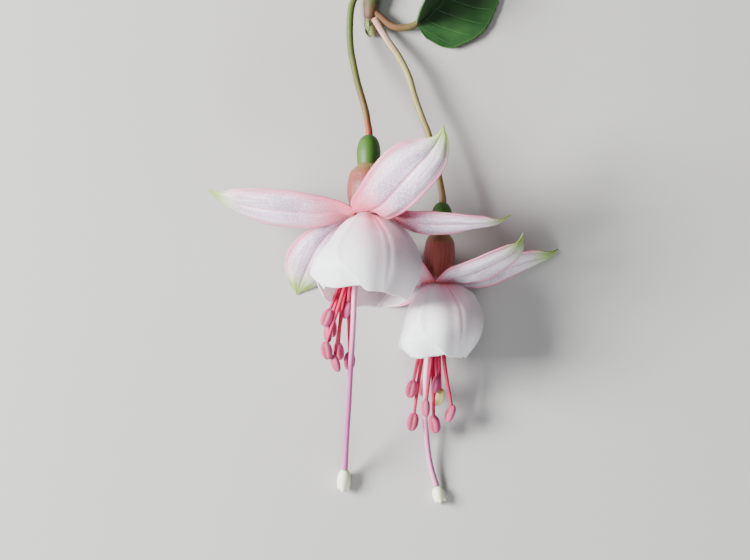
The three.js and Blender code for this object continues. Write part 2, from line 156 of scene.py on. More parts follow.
class Route:
    """A smooth curve through points, read by the share of its length."""

    STEPS = 24
    NEAR = 0.004

    def __init__(self, points: Sequence[Point]) -> None:
        """Lays the curve.

        Args:
            points: The points that it passes, in millimetres.
        """
        knots = [Vector(point) for point in points]
        ends = [2 * knots[0] - knots[1], *knots, 2 * knots[-1] - knots[-2]]
        self.places: list[Vector] = []
        for i in range(1, len(ends) - 2):
            self.places += self._span(ends[i - 1:i + 3])
        self.places.append(knots[-1])
        self.reach = [0.0]
        for before, after in zip(self.places, self.places[1:]):
            self.reach.append(self.reach[-1] + (after - before).length)
        self.length = self.reach[-1]
        self.sides = self._carried_sides()

    def _span(self, knots: Sequence[Vector]) -> list[Vector]:
        """Lays the stretch between the two middle knots of four, spaced centripetally.

        Args:
            knots: The four knots.

        Returns:
            The places from the second knot up to the third.
        """
        times = [0.0]
        for before, after in zip(knots, knots[1:]):
            times.append(times[-1] + max((after - before).length, 1e-4) ** 0.5)
        found = []
        for step in range(self.STEPS):
            now = times[1] + (times[2] - times[1]) * step / self.STEPS
            level = list(knots)
            for reach in (1, 2):
                level = [
                    level[i].lerp(level[i + 1], (now - times[i]) / (times[i + reach] - times[i]))
                    for i in range(len(level) - 1)
                ]
            found.append(level[0].lerp(level[1], (now - times[1]) / (times[2] - times[1])))
        return found

    def _carried_sides(self) -> list[Vector]:
        """Carries a direction across the curve along it, without twist.

        Returns:
            The direction at each place.
        """
        tangent = (self.places[1] - self.places[0]).normalized()
        side = tangent.cross(UP)
        if side.length < 1e-3:
            side = tangent.cross(Vector((1.0, 0.0, 0.0)))
        side.normalize()
        found = []
        for i in range(len(self.places)):
            before = self.places[max(i - 1, 0)]
            after = self.places[min(i + 1, len(self.places) - 1)]
            tangent = (after - before).normalized()
            side = (side - tangent * side.dot(tangent)).normalized()
            found.append(side)
        return found

    def _find(self, share: float) -> tuple[int, float]:
        """Finds a share of the length.

        Args:
            share: From 0 to 1.

        Returns:
            The place before it, and the share of the step beyond that place.
        """
        distance = min(max(share, 0.0), 1.0) * self.length
        i = min(max(bisect_right(self.reach, distance) - 1, 0), len(self.places) - 2)
        step = self.reach[i + 1] - self.reach[i]
        return i, (distance - self.reach[i]) / step if step else 0.0

    def at(self, share: float) -> Vector:
        """The point at a share of the length."""
        i, blend = self._find(share)
        return self.places[i].lerp(self.places[i + 1], blend)

    def tangent(self, share: float) -> Vector:
        """The curve's direction at a share of the length."""
        ahead = self.at(min(share + self.NEAR, 1.0))
        return (ahead - self.at(max(share - self.NEAR, 0.0))).normalized()

    def round_axes(self, share: float) -> tuple[Vector, Vector]:
        """Finds two directions across the curve.

        Args:
            share: The share of the length.

        Returns:
            The directions, at right angles to each other and to the curve.
        """
        i, blend = self._find(share)
        tangent = self.tangent(share)
        side = self.sides[i].lerp(self.sides[i + 1], blend)
        side = (side - tangent * side.dot(tangent)).normalized()
        return side, side.cross(tangent).normalized()


def outline_route(outline: Sequence[Pair]) -> Route:
    """Lays a curve through a turned piece's outline, given as radius and place."""
    return Route([(radius, place, 0.0) for radius, place in outline])


@dataclass(frozen=True)
class BloomAxes:
    """A bloom's own axes: to the right, upwards, and from its hub to its mouth."""

    hub: Point
    tilt: float
    swing: float

    @property
    def turn(self) -> Matrix:
        """Finds the rotation from the bloom's axes to the spray's.

        Returns:
            The rotation.
        """
        swing = Matrix.Rotation(-math.radians(self.swing), 3, "Z")
        tilt = math.radians(self.tilt)
        axis = swing @ Vector((0.0, -math.cos(tilt), math.sin(tilt)))
        right = swing @ Vector((1.0, 0.0, 0.0))
        return Matrix((right, axis.cross(right), axis)).transposed()

    def out(self, angle: float, radius: float, place: float) -> Vector:
        """The point at an angle round the axis, a radius from it and a place along it."""
        own = Vector((math.cos(angle) * radius, math.sin(angle) * radius, place))
        return self.turn @ own + Vector(self.hub)

    def angle_of(self, offset: Point) -> float:
        """The angle round the axis of a point that is measured from the hub."""
        own = self.turn.transposed() @ Vector(offset)
        return math.atan2(own.y, own.x)


# ---------------------------------------------------------------- meshes


class Skin:
    """A mesh that starts as flat grids and is laid over surfaces.

    Every corner keeps its place on its grid as a UV map. Every vertex of a thickened
    skin keeps which of its two faces it is on.
    """

    def __init__(self) -> None:
        """Starts an empty skin."""
        self.mesh = bmesh.new()
        self.mesh.loops.layers.uv.new(PLACE_MAP)
        self.far_face = self.mesh.verts.layers.float.new(FACE_MARK)
        self.grid_place = self.mesh.verts.layers.float_vector.new(GRID_MARK)
        self.outward = self.mesh.verts.layers.float_vector.new(OUT_MARK)

    def lay(
        self,
        columns: int,
        rows: int,
        surface: Surface,
        wall: Wall | None = None,
        band: Pair = (0.0, 1.0),
    ) -> "Skin":
        """Lays one more grid over a surface.

        Args:
            columns: How many faces it has across.
            rows: How many faces it has along.
            surface: Gives the point, in millimetres, for shares from 0 to 1 across and along.
            wall: The thickness at the same shares, or None for a skin that closes itself.
            band: The stretch of the UV map, along, that this grid takes.

        Returns:
            This skin.
        """
        made = bmesh.ops.create_grid(
            self.mesh, x_segments=columns, y_segments=rows, size=0.5, calc_uvs=True
        )
        uv_layer = self.mesh.loops.layers.uv[PLACE_MAP]
        low, high = band
        for vert in made["verts"]:
            across, along = vert.co.x + 0.5, vert.co.y + 0.5
            vert[self.grid_place] = (across, along, wall(across, along) if wall else 0.0)
            vert.co = surface(across, along) * MM
            for loop in vert.link_loops:
                loop[uv_layer].uv.y = low + along * (high - low)
        return self

    def weld(self, distance: float = 2e-7) -> "Skin":
        """Joins the vertices that meet.

        Args:
            distance: How far apart they may be, in metres.

        Returns:
            This skin.
        """
        bmesh.ops.remove_doubles(self.mesh, verts=self.mesh.verts[:], dist=distance)
        bmesh.ops.dissolve_degenerate(self.mesh, dist=distance, edges=self.mesh.edges[:])
        return self

    def thicken(self) -> "Skin":
        """Gives the open skin its wall, half to each side, and closes it along its edges.

        Returns:
            This skin.
        """
        self.mesh.normal_update()
        for vert in self.mesh.verts:
            vert[self.outward] = vert.normal
        near = self.mesh.verts[:]
        made = bmesh.ops.extrude_face_region(self.mesh, geom=self.mesh.faces[:], use_keep_orig=True)
        far = [item for item in made["geom"] if isinstance(item, bmesh.types.BMVert)]
        for verts, share, mark in ((near, 0.5, 0.0), (far, -0.5, 1.0)):
            for vert in verts:
                thickness = vert[self.grid_place][2] * MM
                vert.co = vert.co + vert[self.outward] * thickness * share
                vert[self.far_face] = mark
        return self

    def rest_on_floor(self) -> "Skin":
        """Lifts whatever reaches below the surface that the spray lies on.

        Returns:
            This skin.
        """
        for vert in self.mesh.verts:
            vert.co.z = max(vert.co.z, 0.0)
        return self

    def become(self, name: str, finish: "Finish", slot: Slot, nodes: Sequence[str]) -> None:
        """Turns the skin into a piece of the scene.

        Args:
            name: The piece's name.
            finish: Its finish.
            slot: The record's slot that the finish belongs to. Not used.
            nodes: The solids that the piece stands for.
        """
        for face in self.mesh.faces:
            face.smooth = True
        bmesh.ops.recalc_face_normals(self.mesh, faces=self.mesh.faces[:])
        data = bpy.data.meshes.new(name)
        layers = self.mesh.verts.layers.float_vector
        for mark in (GRID_MARK, OUT_MARK):
            layers.remove(layers[mark])
        self.mesh.to_mesh(data)
        self.mesh.free()
        piece = bpy.data.objects.new(name, data)
        bpy.context.scene.collection.objects.link(piece)
        data.materials.append(finish.material())
        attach(piece, BODY)
        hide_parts(*nodes)
        LOG.info("%s: %d faces, for %s", name, len(data.polygons), ", ".join(nodes))


@dataclass
class Rod:
    """A round stem along a route, closed and rounded at both ends.

    Attributes:
        route: Its middle line.
        radius: Its radius by the share of its length.
        caps: How far the rounding reaches at its start and end.
        ribs: A change of radius, as a share, by angle and by the share of the length.
    """

    route: Route
    radius: Callable[[float], float]
    caps: Pair = (0.3, 0.3)
    ribs: Callable[[float, float], float] = lambda angle, share: 0.0
    CAP_ROWS = 0.08

    def _profile(self, along: float) -> Pair:
        """Sets out the rows, which stand closer together round the two caps.

        Args:
            along: The share of the rows.

        Returns:
            The share of the length, and of the radius, there.
        """
        start, end = (cap / self.route.length for cap in self.caps)
        if along < self.CAP_ROWS:
            turn = along / self.CAP_ROWS * math.pi / 2
            return start * (1.0 - math.cos(turn)), math.sin(turn)
        if along > 1.0 - self.CAP_ROWS:
            turn = (1.0 - along) / self.CAP_ROWS * math.pi / 2
            return 1.0 - end * (1.0 - math.cos(turn)), math.sin(turn)
        middle = (along - self.CAP_ROWS) / (1.0 - 2.0 * self.CAP_ROWS)
        return start + (1.0 - start - end) * middle, 1.0

    def surface(self, across: float, along: float) -> Vector:
        """Finds a point of the rod's skin.

        Args:
            across: The share round it.
            along: The share of its rows.

        Returns:
            The point, in millimetres.
        """
        share, closing = self._profile(along)
        angle = across * TURN
        side, lift = self.route.round_axes(share)
        radius = self.radius(share) * closing * (1.0 + self.ribs(angle, share))
        return self.route.at(share) + around(side, lift, angle) * radius


# ---------------------------------------------------------------- shader expressions


class Figure:
    """A number in a material's node tree, which takes part in Python arithmetic."""

    def __init__(self, tree: "ShaderTree", socket: bpy.types.NodeSocket) -> None:
        """Wraps the output socket that gives the number."""
        self.tree = tree
        self.socket = socket

    def __add__(self, other: "Figure | float") -> "Figure":
        """Adds."""
        return self.tree.math("ADD", self, other)

    __radd__ = __add__

    def __mul__(self, other: "Figure | float") -> "Figure":
        """Multiplies."""
        return self.tree.math("MULTIPLY", self, other)

    __rmul__ = __mul__

    def __sub__(self, other: "Figure | float") -> "Figure":
        """Subtracts another number from this one."""
        return self.tree.math("SUBTRACT", self, other)

    def __rsub__(self, other: float) -> "Figure":
        """Subtracts this number from a plain one."""
        return self.tree.math("SUBTRACT", other, self)

    def __truediv__(self, other: "Figure | float") -> "Figure":
        """Divides."""
        return self.tree.math("DIVIDE", self, other)

    def __abs__(self) -> "Figure":
        """The number without its sign."""
        return self.tree.math("ABSOLUTE", self)

    def fraction(self) -> "Figure":
        """What is left of the number beyond its whole part."""
        return self.tree.math("FRACT", self)

    def wave(self, turns: float) -> "Figure":
        """A wave from -1 to 1, with so many turns for each unit of this number."""
        return self.tree.math("SINE", self * (turns * TURN))

    def smooth(self, low: float, high: float) -> "Figure":
        """Rises smoothly from 0 at low to 1 at high, or falls where high is the lower.

        Args:
            low: Where the result is 0.
            high: Where it is 1.

        Returns:
            The result, from 0 to 1.
        """
        falling = low > high
        limits = {1: min(low, high), 2: max(low, high), 3: float(falling), 4: float(not falling)}
        settings = {"interpolation_type": "SMOOTHSTEP", "clamp": True}
        node = self.tree.node("ShaderNodeMapRange", settings, {0: self, **limits})
        return Figure(self.tree, node.outputs[0])


Input = Figure | bpy.types.NodeSocket | float | Sequence[float]


def vein_arch(out: Figure | float, along: Figure | float) -> Figure | float:
    """Where on the midrib the side vein through a point of the leaf starts."""
    return along - out * 0.16 - out * out * 0.07


class ShaderTree:
    """The node tree of one material, written as expressions."""

    def __init__(self, name: str) -> None:
        """Starts an empty tree.

        Args:
            name: The material's name.
        """
        self.finish = bpy.data.materials.new(name)
        self.finish.use_nodes = True
        self.tree = self.finish.node_tree
        self.tree.nodes.clear()

    def node(
        self,
        kind: str,
        settings: Mapping[str, object] | None = None,
        inputs: Mapping[str | int, Input] | None = None,
    ) -> bpy.types.Node:
        """Adds one node.

        Args:
            kind: The node's type.
            settings: Its own settings, which are set first. A ramp's stops are under "stops".
            inputs: What its sockets take, by name or number.

        Returns:
            The node.
        """
        made = self.tree.nodes.new(kind)
        for key, setting in (settings or {}).items():
            if key == "stops":
                self._set_stops(made.color_ramp, setting)
            else:
                setattr(made, key, setting)
        for key, given in (inputs or {}).items():
            self._feed(made.inputs[key], given)
        return made

    def _set_stops(self, ramp: bpy.types.ColorRamp, stops: Stops) -> None:
        """Gives a colour ramp its stops.

        Args:
            ramp: The ramp.
            stops: The places and colours of its stops.
        """
        while len(ramp.elements) < len(stops):
            ramp.elements.new(1.0)
        for element, (place, colour) in zip(ramp.elements, stops):
            element.position = place
            element.color = (*colour, 1.0)

    def _feed(self, socket: bpy.types.NodeSocket, given: Input) -> None:
        """Links a socket to what it takes, or sets its value.

        Args:
            socket: The input socket.
            given: What it takes.
        """
        if isinstance(given, Figure):
            self.tree.links.new(given.socket, socket)
        elif isinstance(given, bpy.types.NodeSocket):
            self.tree.links.new(given, socket)
        elif isinstance(given, (int, float)):
            socket.default_value = given
        elif len(socket.default_value) == 4:
            socket.default_value = (*given, 1.0)
        else:
            socket.default_value = given

    def math(self, operation: str, *given: Figure | float) -> Figure:
        """One Math node."""
        made = self.node("ShaderNodeMath", {"operation": operation}, dict(enumerate(given)))
        return Figure(self, made.outputs[0])

    def mix(self, share: Figure | float, first: Input, second: Input) -> bpy.types.NodeSocket:
        """A colour between two, nearer to the second as the share rises."""
        made = self.node("ShaderNodeMix", {"data_type": "RGBA"}, {0: share, 6: first, 7: second})
        return made.outputs[2]

    def coats(self, base: Input, *coats: tuple[Figure, Input]) -> Input:
        """Lays colours over each other.

        Args:
            base: The colour below.
            coats: The share of each coat and its colour, from the lowest up.

        Returns:
            The colour that they make.
        """
        for share, colour in coats:
            base = self.mix(share, base, colour)
        return base

    def place(self) -> tuple[Figure, Figure]:
        """Reads the piece's own UV map.

        Returns:
            The shares across and along.
        """
        uv = self.node("ShaderNodeUVMap", {"uv_map": PLACE_MAP})
        parts = self.node("ShaderNodeSeparateXYZ", None, {0: uv.outputs[0]})
        return Figure(self, parts.outputs[0]), Figure(self, parts.outputs[1])

    def far_face(self) -> Figure:
        """1 on the far face of a thickened skin and 0 on its near one."""
        mark = self.node("ShaderNodeAttribute", {"attribute_name": FACE_MARK})
        return Figure(self, mark.outputs[2])

    def _over_object(self, kind: str, size: float, inputs: Mapping[str, Input]) -> Figure:
        """Adds a texture over the object's own coordinates.

        Args:
            kind: The texture's node type.
            size: The size of one patch, in millimetres.
            inputs: Its other inputs.

        Returns:
            The texture's value.
        """
        spots = self.node("ShaderNodeTexCoord").outputs["Object"]
        made = self.node(kind, None, {"Vector": spots, "Scale": 1.0 / (size * MM), **inputs})
        return Figure(self, made.outputs[0])

    def grain(self, size: float, detail: float = 3.0) -> Figure:
        """Cloudy grain from 0 to 1, with patches of a size in millimetres."""
        return self._over_object("ShaderNodeTexNoise", size, {"Detail": detail})

    def cells(self, size: float) -> Figure:
        """Fine cells of a size in millimetres, 0 in the middle of each."""
        return self._over_object("ShaderNodeTexVoronoi", size, {})

    def streaks(self, across: Figure, along: Figure, lines: float, length: float, seed: float) -> Figure:
        """Adds grain on the UV map that is drawn out along the piece.

        Args:
            across: The share across.
            along: The share along.
            lines: About how many streaks lie side by side.
            length: How many patches follow each other.
            seed: Tells this grain from others.

        Returns:
            The grain, from 0 to 1.
        """
        spot = self.node("ShaderNodeCombineXYZ", None, {0: across * lines, 1: along * length, 2: seed})
        inputs = {"Vector": spot.outputs[0], "Scale": 1.0, "Detail": 3.0}
        return Figure(self, self.node("ShaderNodeTexNoise", None, inputs).outputs[0])


@dataclass
class Look:
    """What varies over a finish.

    Attributes:
        height: The height of its relief, in shares of the finish's relief depth.
    """

    colour: Input
    roughness: Figure
    height: Figure | None = None


@dataclass(frozen=True)
class Finish:
    """A finish of living plant tissue.

    Attributes:
        glow: How much light goes on beneath the surface.
        glow_reach: How far that light goes, in millimetres.
        fuzz: The soft sheen of fine hairs or of velvety cells.
        relief: The depth of the relief, in millimetres.
        glow_spread: How far red, green and blue light go, as shares of the glow's reach.
    """

    name: str
    glow: float = 0.25
    glow_reach: float = 1.0
    gloss: float = 0.4
    fuzz: float = 0.0
    relief: float = 0.05
    glow_spread: Colour = (1.0, 0.55, 0.6)
    fuzz_roughness: float = 0.4

    def look(self, tree: ShaderTree) -> Look:
        """What varies over the finish. Each finish gives its own."""
        raise NotImplementedError

    def material(self) -> bpy.types.Material:
        """Makes the material once, and then shares it.

        Returns:
            The material.
        """
        known = bpy.data.materials.get(self.name)
        if known:
            return known
        tree = ShaderTree(self.name)
        look = self.look(tree)
        inputs: dict[str | int, Input] = {
            "Base Color": look.colour,
            "Roughness": look.roughness,
            "Specular IOR Level": self.gloss,
            "Subsurface Weight": self.glow,
            "Subsurface Radius": self.glow_spread,
            "Subsurface Scale": self.glow_reach * MM,
            "Sheen Weight": self.fuzz,
            "Sheen Roughness": self.fuzz_roughness,
        }
        if look.height:
            depth = {"Height": look.height, "Distance": self.relief * MM, "Strength": 1.0}
            inputs["Normal"] = tree.node("ShaderNodeBump", None, depth).outputs[0]
        shader = tree.node("ShaderNodeBsdfPrincipled", None, inputs)
        tree.node("ShaderNodeOutputMaterial", None, {0: shader.outputs[0]})
        return tree.finish


# ---------------------------------------------------------------- finishes


@dataclass(frozen=True)
class SepalFinish(Finish):
    """Crystalline satin: blush at the foot, lilac white with painted grey-lilac shade, rose margins and a
    green tip.

    Along the UV map the tube comes first, and then the sepal.

    Attributes:
        tube_share: The share of the map that the tube takes.
    """

    tube_share: float = 0.24
    blush_reach: float = 0.56
    green_from: float = 0.8
    tube_end: Colour = (0.17, 0.16, 0.04)
    tube_body: Colour = (0.25, 0.045, 0.032)
    tube_pale: Colour = (0.38, 0.11, 0.09)
    throat: Colour = (0.60, 0.09, 0.06)
    blush: Colour = (0.70, 0.105, 0.19)
    middle: Colour = (0.60, 0.46, 0.61)
    pale: Colour = (0.88, 0.83, 0.91)
    # Grey-lilac for the dark specks of the crystalline grain and for the painted shade clouds.
    speckle_and_painted_shade: Colour = (0.32, 0.235, 0.35)
    margin: Colour = (0.68, 0.11, 0.225)
    fading: Colour = (0.60, 0.70, 0.49)
    green: Colour = (0.24, 0.37, 0.07)
    back: Colour = (0.72, 0.19, 0.29)

    def look(self, tree: ShaderTree) -> Look:
        """Paints the sepal's two faces and the tube.

        Args:
            tree: The material's tree.

        Returns:
            What varies over the finish.
        """
        across, along = tree.place()
        out = abs(across * 2.0 - 1.0)
        blade = (along - self.tube_share) / (1.0 - self.tube_share)
        crystals = tree.grain(0.42, 4.0)
        streaks = tree.streaks(across, along, 16.0, 5.0, 1.7)
        clouds = tree.streaks(across, along, 3.0, 5.0, 6.3)
        bright = streaks.smooth(0.4, 0.7) * blade.smooth(0.1, 1.3 * self.blush_reach)
        # Painted shade: grey-lilac clouds over the blade's middle, fading out towards its margins and its
        # foot.
        shade = clouds.smooth(0.42, 0.68) * blade.smooth(0.15, 0.4) * out.smooth(1.0, 0.5)
        rim = out.smooth(0.6, 1.0) * blade.smooth(0.98, 0.7)
        keel = out.smooth(0.09, 0.0) * blade.smooth(0.9, 0.7)
        inner = tree.coats(
            self.blush,
            (blade.smooth(0.02, self.blush_reach), self.middle),
            (bright * 0.6, self.pale),
            (shade * 0.8, self.speckle_and_painted_shade),
            (crystals.smooth(0.48, 0.66) * blade.smooth(0.0, 0.35) * 0.5, self.pale),
            (crystals.smooth(0.47, 0.34) * 0.36, self.speckle_and_painted_shade),
            (blade.smooth(self.green_from - 0.14, 0.96) * 0.55, self.fading),
            (rim * 0.7, self.margin),
            (keel * 0.5, self.margin),
            (blade.smooth(0.06, 0.0), self.throat),
        )
        outer = tree.coats(
            self.blush,
            (blade.smooth(0.1, 0.6), self.back),
            (streaks.smooth(0.45, 0.8) * 0.5, self.pale),
        )
        tube = tree.coats(
            self.tube_body,
            (streaks.smooth(0.35, 0.8) * 0.6, self.tube_pale),
            (along.smooth(0.07, 0.0) * 0.8, self.tube_end),
        )
        colour = tree.coats(
            inner,
            (tree.far_face(), outer),
            ((blade + streaks * 0.12 - 0.06).smooth(self.green_from, 0.95), self.green),
            (blade.smooth(0.02, -0.04), tube),
        )
        return Look(colour, 0.34 + crystals * 0.22, crystals * 0.6 + streaks * 1.4 - keel * 0.8)


@dataclass(frozen=True)
class PetalFinish(Finish):
    """Soft satin white, with rose veins that fade from the foot.

    Attributes:
        wash: How strong the clouds of rose on the upper half are.
        vein: How strong the rose at the foot and along the middle is.
    """

    white: Colour = (0.90, 0.88, 0.92)
    lilac: Colour = (0.76, 0.70, 0.79)
    rose: Colour = (0.72, 0.17, 0.29)
    foot: Colour = (0.62, 0.15, 0.10)
    inside: Colour = (0.95, 0.84, 0.88)
    wash: float = 0.1
    vein: float = 0.38

    def look(self, tree: ShaderTree) -> Look:
        """Paints the petal's two faces.

        Args:
            tree: The material's tree.

        Returns:
            What varies over the finish.
        """
        across, along = tree.place()
        veins = tree.streaks(across, along, 22.0, 2.2, 3.1)
        clouds = tree.streaks(across, along, 4.0, 3.0, 8.2)
        skin = tree.grain(0.4)
        middle = abs(across - 0.5)
        colour = tree.coats(
            self.white,
            (clouds.smooth(0.4, 0.75) * 0.45, self.lilac),
            (clouds.smooth(0.2, 0.6) * along.smooth(0.95, 0.2) * self.wash, self.rose),
            (tree.far_face() * along.smooth(1.0, 0.35) * 0.55, self.inside),
            (along.smooth(0.42, 0.02) * veins.smooth(0.42, 0.68) * 0.55, self.rose),
            (along.smooth(0.44, 0.06) * self.vein, self.rose),
            (along.smooth(0.14, 0.06) * 0.8, self.foot),
            (middle.smooth(0.24, 0.0) * along.smooth(0.72, 0.1) * self.vein, self.rose),
            (middle.smooth(0.022, 0.0) * along.smooth(0.8, 0.3) * self.vein, self.rose),
        )
        return Look(colour, 0.42 + skin * 0.2, skin * 0.3 + veins * 1.2)


@dataclass(frozen=True, kw_only=True)
class RampFinish(Finish):
    """A stem whose colour changes along its length, with fine streaks.

    Attributes:
        streak: The colour of its streaks.
        lines: How many streaks lie round it.
    """

    stops: Stops
    streak: Colour
    streak_share: float = 0.4
    roughness: float = 0.4
    lines: float = 6.0

    def look(self, tree: ShaderTree) -> Look:
        """Paints colour stops along the stem, broken by streaks.

        Args:
            tree: The material's tree.

        Returns:
            What varies over the finish.
        """
        across, along = tree.place()
        streaks = tree.streaks(across, along, self.lines, 5.0, 2.4)
        skin = tree.grain(0.5)
        inputs = {0: along + (streaks - 0.5) * 0.08}
        ramp = tree.node("ShaderNodeValToRGB", {"stops": self.stops}, inputs)
        colour = tree.mix(streaks.smooth(0.45, 0.75) * self.streak_share, ramp.outputs[0], self.streak)
        return Look(colour, self.roughness + skin * 0.15, streaks + skin * 0.6)


@dataclass(frozen=True)
class AntherFinish(Finish):
    """Mauve-pink pollen sacs with pale edges and a brown slit."""

    sac: Colour = (0.40, 0.042, 0.135)
    edge: Colour = (0.58, 0.12, 0.26)
    slit: Colour = (0.30, 0.10, 0.06)
    pollen: Colour = (0.78, 0.76, 0.42)

    def look(self, tree: ShaderTree) -> Look:
        """Paints sacs, edges and slits round the anther.

        Args:
            tree: The material's tree.

        Returns:
            What varies over the finish.
        """
        across, along = tree.place()
        skin = tree.grain(0.3)
        dust = tree.grain(0.16, 2.0)
        swelling = (across - 0.25).wave(2.0)
        middle = along.smooth(0.12, 0.3) * along.smooth(0.9, 0.72)
        groove = abs(across - 0.25).smooth(0.05, 0.015) * middle
        colour = tree.coats(
            self.sac,
            (abs(across.wave(1.0)).smooth(0.75, 0.2) * 0.7, self.edge),
            (groove * 0.6, self.slit),
            (groove * dust.smooth(0.6, 0.7) * 0.6, self.pollen),
            (along.smooth(0.82, 1.0) * 0.6, self.edge),
        )
        return Look(colour, 0.5 + skin * 0.2, dust * 0.8 + skin + swelling * 0.2)


@dataclass(frozen=True)
class LeafFinish(Finish):
    """Dark satin green with paler veins and margin, and a duller, paler underside."""

    green: Colour = (0.012, 0.055, 0.012)
    bright: Colour = (0.022, 0.082, 0.016)
    vein: Colour = (0.035, 0.11, 0.028)
    margin: Colour = (0.06, 0.17, 0.035)
    under: Colour = (0.07, 0.14, 0.06)

    def look(self, tree: ShaderTree) -> Look:
        """Paints the blade with its midrib and arched side veins.

        Args:
            tree: The material's tree.

        Returns:
            What varies over the finish.
        """
        across, along = tree.place()
        out = abs(across * 2.0 - 1.0)
        phase = abs((vein_arch(out, along) * SIDE_VEINS).fraction() - 0.5)
        side = phase.smooth(0.09, 0.0) * out.smooth(0.97, 0.75)
        veins = (side * 0.8 + out.smooth(0.05, 0.015)).smooth(0.0, 1.0)
        mottle = tree.grain(5.0, 4.0)
        colour = tree.coats(
            self.green,
            (mottle.smooth(0.35, 0.7), self.bright),
            (veins * 0.75, self.vein),
            (out.smooth(0.94, 1.0) * 0.8, self.margin),
            (tree.far_face() * 0.7, self.under),
        )
        return Look(colour, 0.38 + mottle * 0.15, mottle * 0.5 - veins * 1.2)


@dataclass(frozen=True)
class BarkFinish(Finish):
    """Young bark: green streaked with brown, and a pale cut end."""

    green: Colour = (0.058, 0.088, 0.016)
    brown: Colour = (0.066, 0.036, 0.018)
    pink: Colour = (0.18, 0.08, 0.055)
    pith: Colour = (0.50, 0.50, 0.26)

    def look(self, tree: ShaderTree) -> Look:
        """Paints green towards the cut end, brown and pink round the node, and the pith.

        Args:
            tree: The material's tree.

        Returns:
            What varies over the finish.
        """
        across, along = tree.place()
        streaks = tree.streaks(across, along, 7.0, 6.0, 4.4)
        patches = tree.grain(2.4, 4.0)
        spots = tree.cells(1.1)
        colour = tree.coats(
            self.green,
            ((along + patches * 0.5 - 0.25).smooth(0.5, 1.05), self.brown),
            (streaks.smooth(0.5, 0.75) * 0.6, self.brown),
            (along.smooth(0.55, 0.9) * patches.smooth(0.45, 0.7) * 0.7, self.pink),
            (spots.smooth(0.12, 0.04) * 0.3, self.pink),
            (along.smooth(0.062, 0.05), self.pith),
        )
        return Look(colour, 0.55 + patches * 0.15, streaks + patches * 1.5 - spots * 0.3)


@dataclass(frozen=True)
class FloorFinish(Finish):
    """A plain pale studio floor."""

    tone: Colour = (0.43, 0.43, 0.425)
    shade: Colour = (0.4, 0.4, 0.4)

    def look(self, tree: ShaderTree) -> Look:
        """A plain tone with the faintest mottling."""
        mottle = tree.grain(60.0)
        return Look(tree.mix(mottle * 0.06, self.tone, self.shade), 0.75 + mottle * 0.05)


LEFT_SEPAL_FINISH = SepalFinish(
    "sepal_blush", glow=0.2, glow_reach=0.9, gloss=0.45, fuzz=0.15, relief=0.13,
    tube_body=(0.19, 0.035, 0.027), tube_pale=(0.28, 0.08, 0.065),
)
RIGHT_SEPAL_FINISH = SepalFinish(
    "sepal_pale", glow=0.2, glow_reach=0.9, gloss=0.45, fuzz=0.15, relief=0.13,
    blush_reach=0.14, green_from=0.7, middle=(0.66, 0.60, 0.69), speckle_and_painted_shade=(0.42, 0.38, 0.46),
)
PETAL_FINISH = PetalFinish("petal_satin", glow=0.5, glow_reach=2.2, gloss=0.3, fuzz=0.1)
# The front petals' finishes: their darker, greyer white and lilac are painted shade; their rose wash and
# veins are the petals' own colour.
LEFT_FRONT_PETAL_SHADED_FINISH = replace(
    PETAL_FINISH, name="petal_blushed_painted_shade", glow=0.4, glow_reach=1.8,
    white=(0.80, 0.76, 0.81), lilac=(0.66, 0.60, 0.70), wash=0.5, vein=0.66,
)
RIGHT_FRONT_PETAL_SHADED_FINISH = replace(
    LEFT_FRONT_PETAL_SHADED_FINISH, name="petal_veined_painted_shade",
    white=(0.82, 0.79, 0.83), lilac=(0.70, 0.64, 0.73), wash=0.28, vein=0.36,
)
OVARY_FINISH = RampFinish(
    "ovary_green", glow=0.2, glow_reach=0.8, gloss=0.35, relief=0.03,
    stops=((0.0, (0.10, 0.07, 0.02)), (0.3, (0.08, 0.08, 0.02)), (0.4, (0.035, 0.105, 0.009)),
           (0.6, (0.032, 0.11, 0.009)), (0.85, (0.022, 0.07, 0.008)), (1.0, (0.09, 0.025, 0.015))),
    streak=(0.07, 0.16, 0.02), streak_share=0.3, roughness=0.44, lines=9.0,
)
LEFT_PEDICEL_FINISH = RampFinish(
    "pedicel_olive", glow=0.15, glow_reach=0.6, relief=0.04,
    stops=((0.0, (0.34, 0.02, 0.02)), (0.08, (0.32, 0.035, 0.02)), (0.18, (0.16, 0.075, 0.022)),
           (0.36, (0.09, 0.095, 0.018)), (0.75, (0.062, 0.105, 0.014)), (1.0, (0.10, 0.065, 0.02))),
    streak=(0.2, 0.21, 0.06), streak_share=0.3,
)
RIGHT_PEDICEL_FINISH = replace(
    LEFT_PEDICEL_FINISH, name="pedicel_tan",
    stops=((0.0, (0.20, 0.10, 0.035)), (0.3, (0.24, 0.18, 0.055)), (0.7, (0.27, 0.26, 0.085)),
           (0.86, (0.42, 0.26, 0.18)), (1.0, (0.46, 0.16, 0.17))),
    streak=(0.64, 0.54, 0.38), streak_share=0.45,
)
LEAF_STALK_FINISH = RampFinish(
    "leaf_stalk_brown", glow=0.1, glow_reach=0.6, gloss=0.35,
    stops=((0.0, (0.16, 0.07, 0.04)), (0.5, (0.16, 0.09, 0.035)), (1.0, (0.09, 0.12, 0.03))),
    streak=(0.26, 0.12, 0.08), roughness=0.45,
)
BUD_FINISH = RampFinish(
    "young_leaf_green", glow=0.2, glow_reach=0.6, gloss=0.3, fuzz=0.3, relief=0.06,
    stops=((0.0, (0.14, 0.12, 0.05)), (0.4, (0.17, 0.20, 0.07)), (1.0, (0.28, 0.33, 0.13))),
    streak=(0.40, 0.44, 0.24), streak_share=0.5, roughness=0.5, lines=5.0,
)
